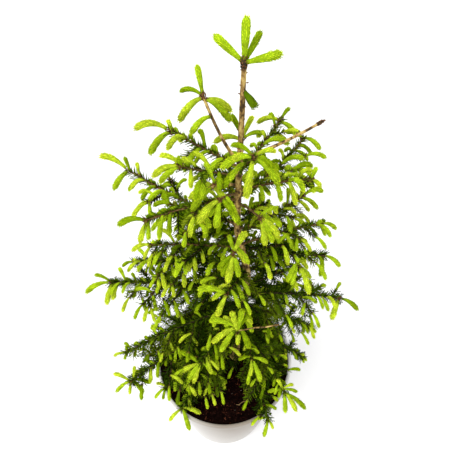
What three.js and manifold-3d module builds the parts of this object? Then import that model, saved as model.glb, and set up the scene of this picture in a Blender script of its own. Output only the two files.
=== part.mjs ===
// Young Norway spruce in a round nursery pot, in spring with fresh shoots at its tips.
// Millimetres, +Z up. The origin is at the centre of the pot's flat underside.
import * as THREE from 'three';
import { mergeVertices } from 'three/addons/utils/BufferGeometryUtils.js';
import Module from 'manifold-3d';

const wasm = await Module();
wasm.setup();

// Clear space between two solids that touch on the real plant, and around leaves of other masses
const CLEAR = 0.3;
const LEAF_CLEAR = 0.5;

// Pot: a tapered tub with a collar under its rim
const POT_HEIGHT = 280;
const POT_FOOT_RADIUS = 113;
const POT_RIM_RADIUS = 156;
const POT_WALL = 3.5;
const POT_FLOOR = 4;
const POT_EDGE = 2.5;
const COLLAR_HEIGHT = 24;
const COLLAR_STEP = 3;
const POT_SIDES = 36;

// Soil: fills the pot to just under the rim
const SOIL_TOP = 275;
const SOIL_SIDES = 32;

// Trunk: from a flat cut on the soil to the foot of the leading shoots
const TRUNK_TOP = 936;
const TRUNK_FOOT_RADIUS = 7.2;
const TRUNK_TOP_RADIUS = 3;
const FLARE_RADIUS = 4;
const FLARE_HEIGHT = 14;
const TRUNK_SIDES = 8;
const TRUNK_STEPS = 15;
const FOOT_CROWDING = 1.25;
// Bends of the trunk: height, and how far its axis leans to the right there
const TRUNK_BENDS = [[SOIL_TOP, 26], [400, 34], [570, 41], [712, 20], [TRUNK_TOP, 22]];

// Limbs: the radius at the trunk grows with the limb's length
const LIMB_RADIUS_LEAST = 2.5;
const LIMB_RADIUS_GAIN = 0.007;
const LIMB_TIP_RADIUS = 2.2;
const BOUGH_SIDES = 5;
const BOUGH_STEPS = 3;
const STEM_SIDES = 3;
const STEM_STEP_LENGTH = 22;

// Side growth along a limb: needled twigs where much of the limb is left, fresh shoots near its tip
const STATION_SPACING = 20;
const STATION_MARGIN = 14;
const TWIG_ANGLE = 54;
const TWIG_SHARE = 0.52;
const TWIG_LEAST_REST = 48;
const TWIG_LONGEST = 85;
const TWIG_SHORTEST = 22;
const TWIG_LONG = 46;
const TWIG_SAG = 0.12;

// Old needles: they stand out of each twig as a flat blade with teeth, and fringe the limb itself.
// Each tooth is a place along the blade and a share of its half width.
const SPRAY_TEETH = [[0, 0.25], [0.36, 1], [0.5, 0.5], [0.8, 0.85], [1, 0.3]];
const SPRAY_HALF_WIDTH = 6.5;
const SPRAY_HALF_THICKNESS = 2.2;
const SPRAY_LEAST_THICKNESS = 1.8;
const FRINGE_WIDE = 5;
const FRINGE_NARROW = 2;
const FRINGE_START = 0.05;

// Fresh shoots: soft spindles that hang, longer towards the top of the crown
const SHOOT_LENGTH_LOW = 41;
const SHOOT_LENGTH_HIGH = 48;
const SHOOT_RADIUS = 5.2;
const SHOOT_FULL_LENGTH = 44;
const SHOOT_LEAST_GIRTH = 0.55;
const SHOOT_MOST_GIRTH = 1.1;
const TIP_GIRTH = 1.1;
const SHOOT_ROOT_RADIUS = 0.8;
const SHOOT_SINK = 0.3;
const SHOOT_ARCH = 0.22;
const TIP_SHOOT_SINK = 1.4;
const TIP_STEP = 1.6;
const SPRAY_LEAST_SHARE = 0.42;
const LOW_SHOOT_SHARE = 0.7;
const TIP_DROOP_LOW = 0.75;
const TIP_DROOP_HIGH = 0.45;
const SIDE_SHOOT_ANGLE = 52;
const SIDE_SHOOT_DROOP = 0.9;
const SIDE_SHOOT_SHARE = 0.86;
const SIDE_SHOOT_SETBACKS = [3.5, 6.3];
const UPRIGHT_SHARE = 0.36;
const UPRIGHT_SETBACK = 10.5;
const TWIG_SHOOT_SHARE = 0.88;
const MIDDLE_SHOOT_SHARE = 0.75;
const STATION_SHOOT_SHARE = 0.8;
const BUD_LENGTH = 14;

// How far the dice may move a size either way, as a share of it
const ANGLE_SPREAD = 0.18;
const LENGTH_SPREAD = 0.15;
const DROOP_SPREAD = 0.4;

// Straight leading shoots on a short stub at the top, all from one place
const LEADER_STUB = 6;
const LEADER_FOOT = 3.6;
const LEADER_SHOOTS = [
  { length: 46, azimuth: 0, elevation: 89 },
  { length: 43, azimuth: 162, elevation: 36 },
  { length: 44, azimuth: -22, elevation: 20 },
  { length: 40, azimuth: 54, elevation: 38 },
];

// Small sprig that hangs on the trunk below the top
const SPRIG = { height: 911, azimuth: -35, elevation: -42, stem: 10, radius: 2, length: 16, girth: 0.8 };

// Boughs: height on the trunk, azimuth from +X, level reach, rise of the tip over the foot,
// bow of the middle, and the share of the limb that is bare wood, a solid of its own where own is set;
// a limb with a bud ends in one that hasn't opened. Vigour and spread are shares of the usual lengths of
// shoots and of side twigs. Where the photograph shows each shoot at a tip, tips holds the length, azimuth
// and elevation of each
const BOUGHS = [
  {
    name: 'top_left_back', height: 813, azimuth: 150, reach: 53, rise: 81, bow: -10, bare: 0.62,
    own: true,
    tips: [[36, 150, 80], [30, 170, 5], [48, 180, -45], [48, 5, -45], [40, 10, -30]],
  },
  {
    name: 'top_right_back', height: 803, azimuth: 46, reach: 82, rise: 41, bow: -6, bare: 0.4, own: true,
    vigour: 0.65,
    tips: [[20, 35, 40], [36, 155, -20], [36, 0, -40]],
  },
  {
    name: 'top_left', height: 807, azimuth: 168, reach: 91, rise: 43, bow: 0, bare: 0.4, own: true,
    tips: [[50, 170, -5], [47, 190, -45], [18, 168, 75]],
  },
  {
    name: 'top_right', height: 820, azimuth: 12, reach: 99, rise: 38, bow: -4, bare: 0.62, bud: true,
    vigour: 0.6,
  },
  {
    name: 'top_front_left', height: 793, azimuth: 205, reach: 81, rise: 39, bow: 0, bare: 0.45,
    tips: [[40, 180, -25], [36, 195, -35], [18, 205, 75], [32, 170, 25]],
  },
  {
    name: 'top_front', height: 796, azimuth: -75, reach: 54, rise: 62, bow: 3, bare: 0.55,
    tips: [[45, 170, -30], [30, 155, 15], [54, 240, -75], [47, -10, -45], [28, 10, 10]],
  },
  {
    name: 'top_back', height: 788, azimuth: 84, reach: 55, rise: 32, bow: 0, bare: 0.35,
    tips: [[38, 170, 62], [36, 10, 68], [32, 15, 5], [42, 175, -10]],
  },
  {
    name: 'high_front_left', height: 776, azimuth: 226, reach: 50, rise: 27, bow: 4, bare: 0.6,
    tips: [[45, -15, -55], [48, 195, -50], [42, 180, -35], [32, 125, 40]],
  },
  {
    name: 'high_right', height: 768, azimuth: -14, reach: 95, rise: 37, bow: 4, bare: 0.35, vigour: 1.1,
    tips: [[20, 0, 80], [20, -10, -35], [22, -30, -60]],
  },
  {
    name: 'high_front', height: 760, azimuth: 245, reach: 60, rise: 38, bow: 4, bare: 0.5,
    tips: [[46, 195, -50], [40, 250, -65], [44, -30, -50]],
  },
  {
    name: 'high_right_back', height: 759, azimuth: 42, reach: 136, rise: 38, bow: -14, bare: 0.35,
    own: true, vigour: 0.7,
    tips: [[36, -5, -35], [28, 155, 5]],
  },
  {
    name: 'high_left_front', height: 753, azimuth: 208, reach: 134, rise: 17, bow: 6, bare: 0.35,
    own: true, vigour: 0.8, spread: 0.7,
    tips: [[40, 180, -15], [36, 225, -60], [30, 255, -70]],
  },
  {
    name: 'high_front_right', height: 745, azimuth: -60, reach: 59, rise: 16, bow: 4, bare: 0.4,
    tips: [[40, -65, -65], [40, -40, -55], [42, -20, -45], [28, 20, 15]],
  },
  { name: 'high_back', height: 722, azimuth: 96, reach: 112, rise: 12, bow: 4, bare: 0.25 },
  {
    name: 'high_left', height: 702, azimuth: 165, reach: 166, rise: 70, bow: -6, bare: 0.35, own: true,
    vigour: 0.8,
    tips: [[45, 170, 25], [42, 200, -45], [26, 165, 80]],
  },
  { name: 'mid_right_back', height: 692, azimuth: 32, reach: 130, rise: 10, bow: -8, bare: 0.3 },
  {
    name: 'mid_front', height: 680, azimuth: 260, reach: 54, rise: 12, bow: 6, bare: 0.4,
    tips: [[34, 200, -45], [48, 250, -60], [40, -65, -60], [46, -5, 70], [32, 160, 75], [48, 225, -60],
      [30, -25, -50]],
  },
  {
    name: 'mid_right', height: 658, azimuth: 8, reach: 130, rise: 29, bow: 4, bare: 0.3, own: true,
    vigour: 0.7,
  },
  {
    name: 'mid_left_high', height: 650, azimuth: 182, reach: 145, rise: 12, bow: 4, bare: 0.3,
    vigour: 0.7,
  },
  {
    name: 'mid_left_back', height: 645, azimuth: 138, reach: 140, rise: 10, bow: 6, bare: 0.25,
    vigour: 0.75,
  },
  {
    name: 'mid_right_front', height: 625, azimuth: -10, reach: 125, rise: 31, bow: 6, bare: 0.35,
    own: true,
    tips: [[34, -20, -30], [38, 270, -65]],
  },
  { name: 'mid_back', height: 622, azimuth: 100, reach: 150, rise: 4, bow: 8, bare: 0.3, own: true },
  {
    name: 'mid_left', height: 601, azimuth: 174, reach: 200, rise: -12, bow: 10, bare: 0.35, own: true,
    vigour: 0.65,
  },
  {
    name: 'mid_front_left', height: 593, azimuth: 245, reach: 84, rise: 36, bow: 4, bare: 0.45,
    tips: [[46, 170, 0], [43, 230, -55], [24, 190, -20]],
  },
  {
    name: 'low_front', height: 540, azimuth: -101, reach: 96, rise: 8, bow: 8, bare: 0.5,
    tips: [[46, 130, 70], [46, 65, 70], [34, 50, 15], [32, 140, 10], [50, 165, 0], [56, 195, -35],
      [56, 220, -45], [45, -55, -45], [36, 265, -50]],
  },
  {
    name: 'low_left', height: 528, azimuth: 183, reach: 238, rise: 46, bow: 8, bare: 0.4, own: true,
    tips: [[50, 195, -20], [32, 165, 20], [46, 240, -55], [32, 270, -60]],
  },
  {
    name: 'low_right', height: 522, azimuth: -10, reach: 167, rise: 28, bow: 8, bare: 0.35, own: true,
    tips: [[40, -25, -25], [46, 245, -60]],
  },
  { name: 'low_right_back', height: 513, azimuth: 56, reach: 170, rise: -8, bow: 10, bare: 0.3 },
  { name: 'low_left_back', height: 503, azimuth: 126, reach: 180, rise: 6, bow: 10, bare: 0.3 },
  {
    name: 'bottom_left', height: 484, azimuth: 196, reach: 237, rise: -65, bow: 14, bare: 0.35,
    own: true, vigour: 0.7, spread: 0.8,
    tips: [[26, 190, -15], [16, 250, -45], [14, 100, 55]],
  },
  {
    name: 'bottom_right', height: 468, azimuth: -2, reach: 146, rise: -61, bow: 14, bare: 0.35,
    vigour: 0.6, spread: 0.6,
  },
  {
    name: 'bottom_front_left', height: 464, azimuth: 230, reach: 126, rise: -28, bow: 12, bare: 0.45,
    tips: [[44, 150, 5], [48, 195, -30], [58, 225, -40], [45, 240, -45], [34, -35, -45]],
  },
  {
    name: 'bottom_left_front', height: 445, azimuth: 208, reach: 240, rise: -44, bow: 14, bare: 0.4,
    own: true, spread: 1.3,
    tips: [[35, 160, 10], [36, 210, -25], [28, 260, -45], [38, -35, -50], [40, 5, -40], [30, 70, 65]],
  },
  {
    name: 'bottom_front', height: 445, azimuth: -78, reach: 85, rise: -18, bow: 10, bare: 0.5,
    tips: [[48, -60, -45], [34, -95, -45], [34, -10, -20], [26, 190, -10]],
  },
  { name: 'bottom_left_back', height: 426, azimuth: 140, reach: 200, rise: -50, bow: 16, bare: 0.3 },
  { name: 'bottom_right_back', height: 418, azimuth: 48, reach: 188, rise: -46, bow: 16, bare: 0.3 },
  {
    name: 'foot_front_right', height: 410, azimuth: -53, reach: 143, rise: -62, bow: 16, bare: 0.4,
    tips: [[54, -30, -25], [46, -50, -35], [44, -85, -45], [32, 140, 55], [34, 175, -30],
      [30, -10, -5], [24, 15, 10]],
  },
  {
    name: 'foot_front_left', height: 394, azimuth: 226, reach: 174, rise: -100, bow: 30, bare: 0.4,
    tips: [[38, 215, -30], [50, -65, -40], [40, -15, -10]],
  },
  {
    name: 'foot_front', height: 388, azimuth: -69, reach: 156, rise: -96, bow: 20, bare: 0.45,
    tips: [[38, 250, -45], [24, -55, -40], [22, 180, -15]],
  },
  {
    name: 'foot_right', height: 370, azimuth: -9, reach: 145, rise: -55, bow: 12, bare: 0.4, vigour: 0.6,
    spread: 0.6,
  },
  {
    name: 'foot_left', height: 404, azimuth: 214, reach: 184, rise: -59, bow: 16, bare: 0.4, vigour: 0.8,
    tips: [[32, 215, -35], [28, 250, -50], [22, 165, 5]],
  },
];

const UP = new THREE.Vector3(0, 0, 1);
const ALONG_X = new THREE.Vector3(1, 0, 0);
const DICE_RANGE = 2 ** 32;

// Seeded dice: the same rolls on every run
function makeDice(seed) {
  let state = seed;
  return () => {
    state = (Math.imul(state, 1664525) + 1013904223) >>> 0;
    return state / DICE_RANGE;
  };
}

// A size that the dice move by up to a share of it
function vary(dice, size, spread) {
  return size * (1 + spread * (2 * dice() - 1));
}

function mix(low, high, share) {
  return low + (high - low) * share;
}

function radians(degrees) {
  return THREE.MathUtils.degToRad(degrees);
}

// Direction from an azimuth and an elevation in degrees
function heading(azimuth, elevation) {
  const level = Math.cos(radians(elevation));
  return new THREE.Vector3(
    level * Math.cos(radians(azimuth)),
    level * Math.sin(radians(azimuth)),
    Math.sin(radians(elevation)),
  );
}

// Level direction to the left of a run, or along X where the run is upright
const UPRIGHT_LEAN = 0.05;

function sideOf(direction) {
  const side = new THREE.Vector3().crossVectors(UP, direction);
  return side.length() > UPRIGHT_LEAN ? side.normalize() : ALONG_X.clone();
}

// Point at a distance from a start along a direction
function beyond(start, direction, distance) {
  return start.clone().addScaledVector(direction, distance);
}

// Direction turned to one side of a run by an angle in degrees, then let down by a share
function turned(along, angle, droop) {
  return along.clone()
    .multiplyScalar(Math.cos(radians(angle)))
    .addScaledVector(sideOf(along), Math.sin(radians(angle)))
    .addScaledVector(UP, -droop)
    .normalize();
}

// Point on the trunk's axis at a height
function trunkPoint(height) {
  let bend = 1;
  while (bend < TRUNK_BENDS.length - 1 && height > TRUNK_BENDS[bend][0]) {
    bend += 1;
  }
  const [lowHeight, lowOffset] = TRUNK_BENDS[bend - 1];
  const [highHeight, highOffset] = TRUNK_BENDS[bend];
  const share = THREE.MathUtils.smoothstep(height, lowHeight, highHeight);
  return new THREE.Vector3(mix(lowOffset, highOffset, share), 0, height);
}

// Share of the way up the crown
function crownShare(height) {
  return (height - SOIL_TOP) / (TRUNK_TOP - SOIL_TOP);
}

function trunkRadius(height) {
  const flare = FLARE_RADIUS * Math.exp(-(height - SOIL_TOP) / FLARE_HEIGHT);
  return mix(TRUNK_FOOT_RADIUS, TRUNK_TOP_RADIUS, crownShare(height)) + flare;
}

// Axis of a limb, from the trunk's axis to its tip
function limbAxis(bough) {
  const foot = trunkPoint(bough.height);
  const tip = beyond(foot, heading(bough.azimuth, 0), bough.reach).addScaledVector(UP, bough.rise);
  const middle = foot.clone().lerp(tip, 0.5).addScaledVector(UP, 2 * bough.bow);
  return new THREE.QuadraticBezierCurve3(foot, middle, tip);
}

function limbLength(bough) {
  return Math.hypot(bough.reach, bough.rise);
}

function limbRadius(bough, share) {
  return mix(LIMB_RADIUS_LEAST + LIMB_RADIUS_GAIN * limbLength(bough), LIMB_TIP_RADIUS, share);
}

// Closed solid from a geometry class, kept as positions only so that shared corners merge
function solidOf(geometry) {
  geometry.deleteAttribute('normal');
  geometry.deleteAttribute('uv');
  const merged = mergeVertices(geometry);
  return new wasm.Manifold(new wasm.Mesh({
    numProp: 3,
    vertProperties: Float32Array.from(merged.attributes.position.array),
    triVerts: Uint32Array.from(merged.index.array),
  }));
}

// Moves every corner of a geometry to the place that a function gives for it
function remap(geometry, place) {
  const corners = geometry.attributes.position;
  for (let index = 0; index < corners.count; index += 1) {
    const moved = place(corners.getX(index), corners.getY(index), corners.getZ(index));
    corners.setXYZ(index, moved.x, moved.y, moved.z);
  }
  return geometry;
}

// Point beside a centre, in the section across a run: so far to its side and so far over it
function inSection(centre, along, sideways, over) {
  const side = sideOf(along);
  return beyond(centre, side, sideways).addScaledVector(side.cross(along), over);
}

// Tapering run along part of a curve, round unless a second function gives it a half width of its own
function taperedRun(curve, start, end, radiusAt, sides, steps, widthAt = radiusAt) {
  return remap(new THREE.CylinderGeometry(1, 1, 1, sides, steps), (x, y, z) => {
    const share = mix(start, end, y + 0.5);
    const centre = curve.getPoint(share);
    return inSection(centre, curve.getTangent(share), x * widthAt(share), z * radiusAt(share));
  });
}

// Flat blade with toothed edges and a ridge, along a straight line
function toothedBlade(from, to) {
  const along = to.clone().sub(from).normalize();
  const steps = SPRAY_TEETH.length - 1;
  return remap(new THREE.CylinderGeometry(1, 1, 1, 3, steps), (x, y, z) => {
    const [share, width] = SPRAY_TEETH[Math.round((y + 0.5) * steps)];
    const thickness = Math.max(SPRAY_HALF_THICKNESS * width, SPRAY_LEAST_THICKNESS);
    return inSection(from.clone().lerp(to, share), along, x * width * SPRAY_HALF_WIDTH, z * thickness);
  });
}

// Three-sided spindle with a blunt root and a pointed tip, widest at a belly that may stand off the line
function spindle(root, belly, tip, radius) {
  const along = tip.clone().sub(root).normalize();
  const steps = 2;
  return remap(new THREE.CylinderGeometry(0, 1, 1, 3, steps), (x, y, z) => {
    const ring = Math.round((y + 0.5) * steps);
    if (ring === 0) {
      return inSection(root, along, x * SHOOT_ROOT_RADIUS, z * SHOOT_ROOT_RADIUS);
    }
    // the cone's middle ring has half the radius of its base
    return ring === steps ? tip : inSection(belly, along, 2 * x * radius, 2 * z * radius);
  });
}

// A shorter shoot is also thinner
function shootGirth(length) {
  return THREE.MathUtils.clamp(length / SHOOT_FULL_LENGTH, SHOOT_LEAST_GIRTH, SHOOT_MOST_GIRTH);
}

// Growth rule: a mass is a list of growths, each a needled twig or a fresh shoot from one point
// to another, with the growth that carries it, which is null for the limb itself
function addShoot(growths, parent, from, direction, length, bend = SHOOT_ARCH, girth = shootGirth(length)) {
  const to = beyond(from, direction, length);
  const arch = bend * length * Math.hypot(direction.x, direction.y);
  const belly = from.clone().lerp(to, 0.5).addScaledVector(UP, arch);
  growths.push({ kind: 'shoot', parent, from, belly, to, radius: SHOOT_RADIUS * girth });
}

// Fresh shoots at a tip: one straight on, one to each side and, on a limb, one that stands up
function addTipShoots(growths, parent, tip, along, length, droop, dice) {
  const hang = vary(dice, droop, DROOP_SPREAD);
  const straight = vary(dice, length, LENGTH_SPREAD);
  addShoot(growths, parent, beyond(tip, along, -TIP_SHOOT_SINK), turned(along, 0, hang), straight);
  [1, -1].forEach((hand, index) => {
    const angle = vary(dice, hand * SIDE_SHOOT_ANGLE, ANGLE_SPREAD);
    const fall = vary(dice, SIDE_SHOOT_DROOP, DROOP_SPREAD);
    const reach = vary(dice, length * SIDE_SHOOT_SHARE, LENGTH_SPREAD);
    const foot = beyond(tip, along, -SIDE_SHOOT_SETBACKS[index]);
    addShoot(growths, parent, foot, turned(along, angle, fall), reach);
  });
  const lift = vary(dice, 1, DROOP_SPREAD);
  if (parent === null) {
    const foot = beyond(tip, along, -UPRIGHT_SETBACK);
    addShoot(growths, parent, foot, turned(along, 0, -lift), length * UPRIGHT_SHARE);
  }
}

// Needled side twig with shoots at its tip, one only low in the crown, and one at the middle of a long twig
function addTwig(growths, from, along, angle, reach, shootLength, droop, heightShare, dice) {
  const direction = turned(along, angle, TWIG_SAG);
  const to = beyond(from, direction, reach);
  const twig = { kind: 'twig', parent: null, from, to };
  growths.push(twig);
  if (heightShare > SPRAY_LEAST_SHARE) {
    addTipShoots(growths, twig, to, direction, shootLength * TWIG_SHOOT_SHARE, droop, dice);
  } else {
    const foot = beyond(to, direction, -TIP_SHOOT_SINK);
    addShoot(growths, twig, foot, turned(direction, 0, droop), shootLength * LOW_SHOOT_SHARE);
  }
  if (reach > TWIG_LONG) {
    const middle = from.clone().lerp(to, 0.5);
    const outward = turned(direction, Math.sign(angle) * SIDE_SHOOT_ANGLE, SIDE_SHOOT_DROOP);
    addShoot(growths, twig, middle, outward, shootLength * MIDDLE_SHOOT_SHARE);
  }
}

// All growth on one limb, from its bare part to its tip
function growLimb(bough, seed) {
  const dice = makeDice(seed);
  const growths = [];
  const axis = limbAxis(bough);
  const length = limbLength(bough);
  const heightShare = crownShare(bough.height);
  const droop = mix(TIP_DROOP_LOW, TIP_DROOP_HIGH, heightShare);
  const shootLength = mix(SHOOT_LENGTH_LOW, SHOOT_LENGTH_HIGH, heightShare) * (bough.vigour ?? 1);
  let hand = dice() < 0.5 ? 1 : -1;
  let place = bough.bare * length + STATION_MARGIN;
  while (place < length - STATION_MARGIN) {
    const rest = length - place;
    const from = axis.getPoint(place / length);
    const along = axis.getTangent(place / length);
    const angle = vary(dice, hand * TWIG_ANGLE, ANGLE_SPREAD);
    const scale = vary(dice, 1, LENGTH_SPREAD);
    if (rest > TWIG_LEAST_REST) {
      const reach = THREE.MathUtils.clamp(TWIG_SHARE * rest * scale, TWIG_SHORTEST, TWIG_LONGEST);
      const spread = bough.spread ?? 1;
      addTwig(growths, from, along, angle, spread * reach, shootLength, droop, heightShare, dice);
    } else {
      const outward = turned(along, angle, SIDE_SHOOT_DROOP);
      addShoot(growths, null, from, outward, shootLength * STATION_SHOOT_SHARE * scale);
    }
    hand = -hand;
    place += vary(dice, STATION_SPACING, LENGTH_SPREAD);
  }
  const tip = axis.getPoint(1);
  const along = axis.getTangent(1);
  if (bough.bud) {
    addShoot(growths, null, beyond(tip, along, -TIP_SHOOT_SINK), along, BUD_LENGTH);
  } else if (bough.tips) {
    bough.tips.forEach(([size, azimuth, elevation], index) => {
      const foot = beyond(tip, along, -TIP_SHOOT_SINK - index * TIP_STEP);
      const girth = TIP_GIRTH * shootGirth(size);
      addShoot(growths, null, foot, heading(azimuth, elevation), size, SHOOT_ARCH, girth);
    });
  } else {
    addTipShoots(growths, null, tip, along, shootLength, droop, dice);
  }
  return growths;
}

// Space that the solids take, as straight runs with a radius, each with its owner
const claims = [];

// Least distance between two straight runs
const PARALLEL = 1e-9;

function runDistance(a, b) {
  const first = a.to.clone().sub(a.from);
  const second = b.to.clone().sub(b.from);
  const offset = a.from.clone().sub(b.from);
  const across = first.dot(second);
  const spread = first.lengthSq() * second.lengthSq() - across * across;
  let s = 0;
  if (spread > PARALLEL) {
    const nearest = across * second.dot(offset) - first.dot(offset) * second.lengthSq();
    s = THREE.MathUtils.clamp(nearest / spread, 0, 1);
  }
  const t = THREE.MathUtils.clamp((across * s + second.dot(offset)) / second.lengthSq(), 0, 1);
  s = THREE.MathUtils.clamp((across * t - first.dot(offset)) / first.lengthSq(), 0, 1);
  return beyond(a.from, first, s).distanceTo(beyond(b.from, second, t));
}

// True where a run would touch the pot or the soil
function meetsPot({ from, to, radius }) {
  const margin = radius + LEAF_CLEAR;
  return [0, 0.25, 0.5, 0.75, 1].some((share) => {
    const point = from.clone().lerp(to, share);
    return Math.hypot(point.x, point.y) < POT_RIM_RADIUS + margin && point.z < POT_HEIGHT + margin;
  });
}

// True where a run has room beside every run of another owner
function hasRoom(owner, run) {
  return claims.every((other) => {
    const margin = run.radius + other.radius + LEAF_CLEAR;
    return other.owner === owner || runDistance(run, other) > margin;
  });
}

// Straight runs that cover one growth: a shoot is thinner at its neck and nose
const NECK_SHARE = 0.4;
const NOSE_SHARE = 0.5;

function runsOf({ kind, from, belly, to, radius }) {
  if (kind === 'shoot') {
    const neck = from.clone().lerp(belly, NECK_SHARE);
    const nose = belly.clone().lerp(to, NOSE_SHARE);
    return [
      { from, to: neck, radius: radius / 2 },
      { from: neck, to: belly, radius },
      { from: belly, to: nose, radius },
      { from: nose, to, radius: radius / 2 },
    ];
  }
  const side = sideOf(to.clone().sub(from));
  const half = SPRAY_HALF_WIDTH / 2;
  return [half, -half].map((offset) => ({
    from: beyond(from, side, offset),
    to: beyond(to, side, offset),
    radius: half,
  }));
}

// Solid of one growth, its root sunk into the wood that carries it
function growthSolid({ kind, from, belly, to, radius }) {
  if (kind === 'twig') {
    return solidOf(toothedBlade(from, to));
  }
  const along = to.clone().sub(from).normalize();
  return solidOf(spindle(beyond(from, along, -SHOOT_SINK), belly, to, radius));
}

// Shortest edge of a solid's mesh
function shortestEdge(solid) {
  const { vertProperties, triVerts } = solid.getMesh();
  const corner = (index) => new THREE.Vector3().fromArray(vertProperties, 3 * triVerts[index]);
  let shortest = Infinity;
  for (let first = 0; first < triVerts.length; first += 3) {
    const [a, b, c] = [corner(first), corner(first + 1), corner(first + 2)];
    shortest = Math.min(shortest, a.distanceTo(b), b.distanceTo(c), c.distanceTo(a));
  }
  return shortest;
}

// Fuses every growth that has room onto a stem; one whose joint would hold slivers is left out
const LEAST_EDGE = 0.006;

function fuseGrowths(owner, stem, growths) {
  let mass = stem;
  const kept = new Set([null]);
  for (const growth of growths) {
    const runs = runsOf(growth);
    const roomy = runs.every((run) => !meetsPot(run) && hasRoom(owner, run));
    if (!kept.has(growth.parent) || !roomy) {
      continue;
    }
    const joined = mass.add(growthSolid(growth));
    if (shortestEdge(joined) < LEAST_EDGE) {
      continue;
    }
    mass = joined;
    kept.add(growth);
    runs.forEach((run) => claims.push({ owner, ...run }));
  }
  return mass;
}

// Geometry of a solid's largest body, with loose scraps dropped
const MERGE_DISTANCE = 1e-5;

function largestBody(solid) {
  const { vertProperties, triVerts } = solid.getMesh();
  const group = Array.from({ length: vertProperties.length / 3 }, (unused, index) => index);
  const rootOf = (index) => {
    let root = index;
    while (group[root] !== root) {
      root = group[root];
    }
    group[index] = root;
    return root;
  };
  for (let first = 0; first < triVerts.length; first += 3) {
    group[rootOf(triVerts[first + 1])] = rootOf(triVerts[first]);
    group[rootOf(triVerts[first + 2])] = rootOf(triVerts[first]);
  }
  const counts = new Map();
  for (const index of triVerts) {
    counts.set(rootOf(index), (counts.get(rootOf(index)) ?? 0) + 1);
  }
  const [largest] = [...counts].sort((a, b) => b[1] - a[1])[0];
  const geometry = new THREE.BufferGeometry();
  geometry.setAttribute('position', new THREE.BufferAttribute(Float32Array.from(vertProperties), 3));
  geometry.setIndex([...triVerts].filter((index) => rootOf(index) === largest));
  const body = mergeVertices(geometry.toNonIndexed(), MERGE_DISTANCE);
  body.computeVertexNormals();
  return body;
}

// Lathe about Z, from a profile of radius and height that starts and ends on the axis
function latheBody(profile, sides) {
  const points = profile.map(([radius, height]) => new THREE.Vector2(radius, height));
  return largestBody(solidOf(new THREE.LatheGeometry(points, sides).rotateX(Math.PI / 2)));
}

// Radius of the pot's outer wall at a height, below the collar
function potRadius(height) {
  return mix(POT_FOOT_RADIUS, POT_RIM_RADIUS - COLLAR_STEP, height / POT_HEIGHT);
}

function makePot() {
  const collarFoot = POT_HEIGHT - COLLAR_HEIGHT;
  return latheBody([
    [0, 0],
    [POT_FOOT_RADIUS - POT_EDGE, 0],
    [potRadius(POT_EDGE), POT_EDGE],
    [potRadius(collarFoot), collarFoot],
    [potRadius(collarFoot) + COLLAR_STEP, collarFoot + COLLAR_STEP],
    [POT_RIM_RADIUS, POT_HEIGHT - POT_EDGE],
    [POT_RIM_RADIUS - POT_EDGE, POT_HEIGHT],
    [potRadius(POT_HEIGHT) - POT_WALL, POT_HEIGHT],
    [potRadius(POT_FLOOR) - POT_WALL, POT_FLOOR],
    [0, POT_FLOOR],
  ], POT_SIDES);
}

// The soil's flats stay inside the corners of the pot's inner wall
function makeSoil() {
  const foot = POT_FLOOR + CLEAR;
  const inset = Math.cos(Math.PI / POT_SIDES);
  const soilRadius = (height) => (potRadius(height) - POT_WALL) * inset - CLEAR;
  return latheBody([
    [0, foot],
    [soilRadius(foot), foot],
    [soilRadius(SOIL_TOP), SOIL_TOP],
    [0, SOIL_TOP],
  ], SOIL_SIDES);
}

// Trunk with level rings, so that its foot is a flat cut; swell makes it thicker all round
function makeTrunk(swell) {
  const foot = SOIL_TOP + CLEAR;
  const cylinder = new THREE.CylinderGeometry(1, 1, 1, TRUNK_SIDES, TRUNK_STEPS);
  return solidOf(remap(cylinder, (x, y, z) => {
    const height = mix(foot, TRUNK_TOP, (y + 0.5) ** FOOT_CROWDING);
    const radius = trunkRadius(height) + swell;
    return trunkPoint(height).add(new THREE.Vector3(z * radius, x * radius, 0));
  }));
}

// Bare wood of a limb, cut clear of the trunk
function makeBough(bough, clearTrunk) {
  const radiusAt = (share) => limbRadius(bough, share);
  const run = taperedRun(limbAxis(bough), 0, bough.bare, radiusAt, BOUGH_SIDES, BOUGH_STEPS);
  return solidOf(run).subtract(clearTrunk);
}

// Stem of a mass, from the end of its bough or from the trunk to the limb's tip.
// Its needled part is fringed, wide and narrow in turn.
function makeStem(bough, clearTrunk) {
  const start = bough.own ? bough.bare + CLEAR / limbLength(bough) : 0;
  const steps = Math.round(((1 - start) * limbLength(bough)) / STEM_STEP_LENGTH);
  const radiusAt = (share) => limbRadius(bough, share);
  const widthAt = (share) => {
    const step = Math.round(((share - start) / (1 - start)) * steps);
    const plain = step === steps || share < bough.bare + FRINGE_START;
    const fringe = step % 2 === 0 ? FRINGE_NARROW : FRINGE_WIDE;
    return plain ? radiusAt(share) : radiusAt(share) + fringe;
  };
  const run = solidOf(taperedRun(limbAxis(bough), start, 1, radiusAt, STEM_SIDES, steps, widthAt));
  return bough.own ? run : run.subtract(clearTrunk);
}

// Straight round peg, for the stems of the leading shoots and of the sprig
function makePeg(from, direction, length, radius) {
  const line = new THREE.LineCurve3(from, beyond(from, direction, length));
  return solidOf(taperedRun(line, 0, 1, () => radius, STEM_SIDES, 1));
}

function makeLeader() {
  const foot = trunkPoint(TRUNK_TOP).addScaledVector(UP, CLEAR);
  const growths = [];
  for (const { length, azimuth, elevation } of LEADER_SHOOTS) {
    addShoot(growths, null, beyond(foot, UP, LEADER_FOOT), heading(azimuth, elevation), length, 0);
  }
  return fuseGrowths('foliage_top', makePeg(foot, UP, LEADER_STUB, TRUNK_TOP_RADIUS), growths);
}

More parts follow.
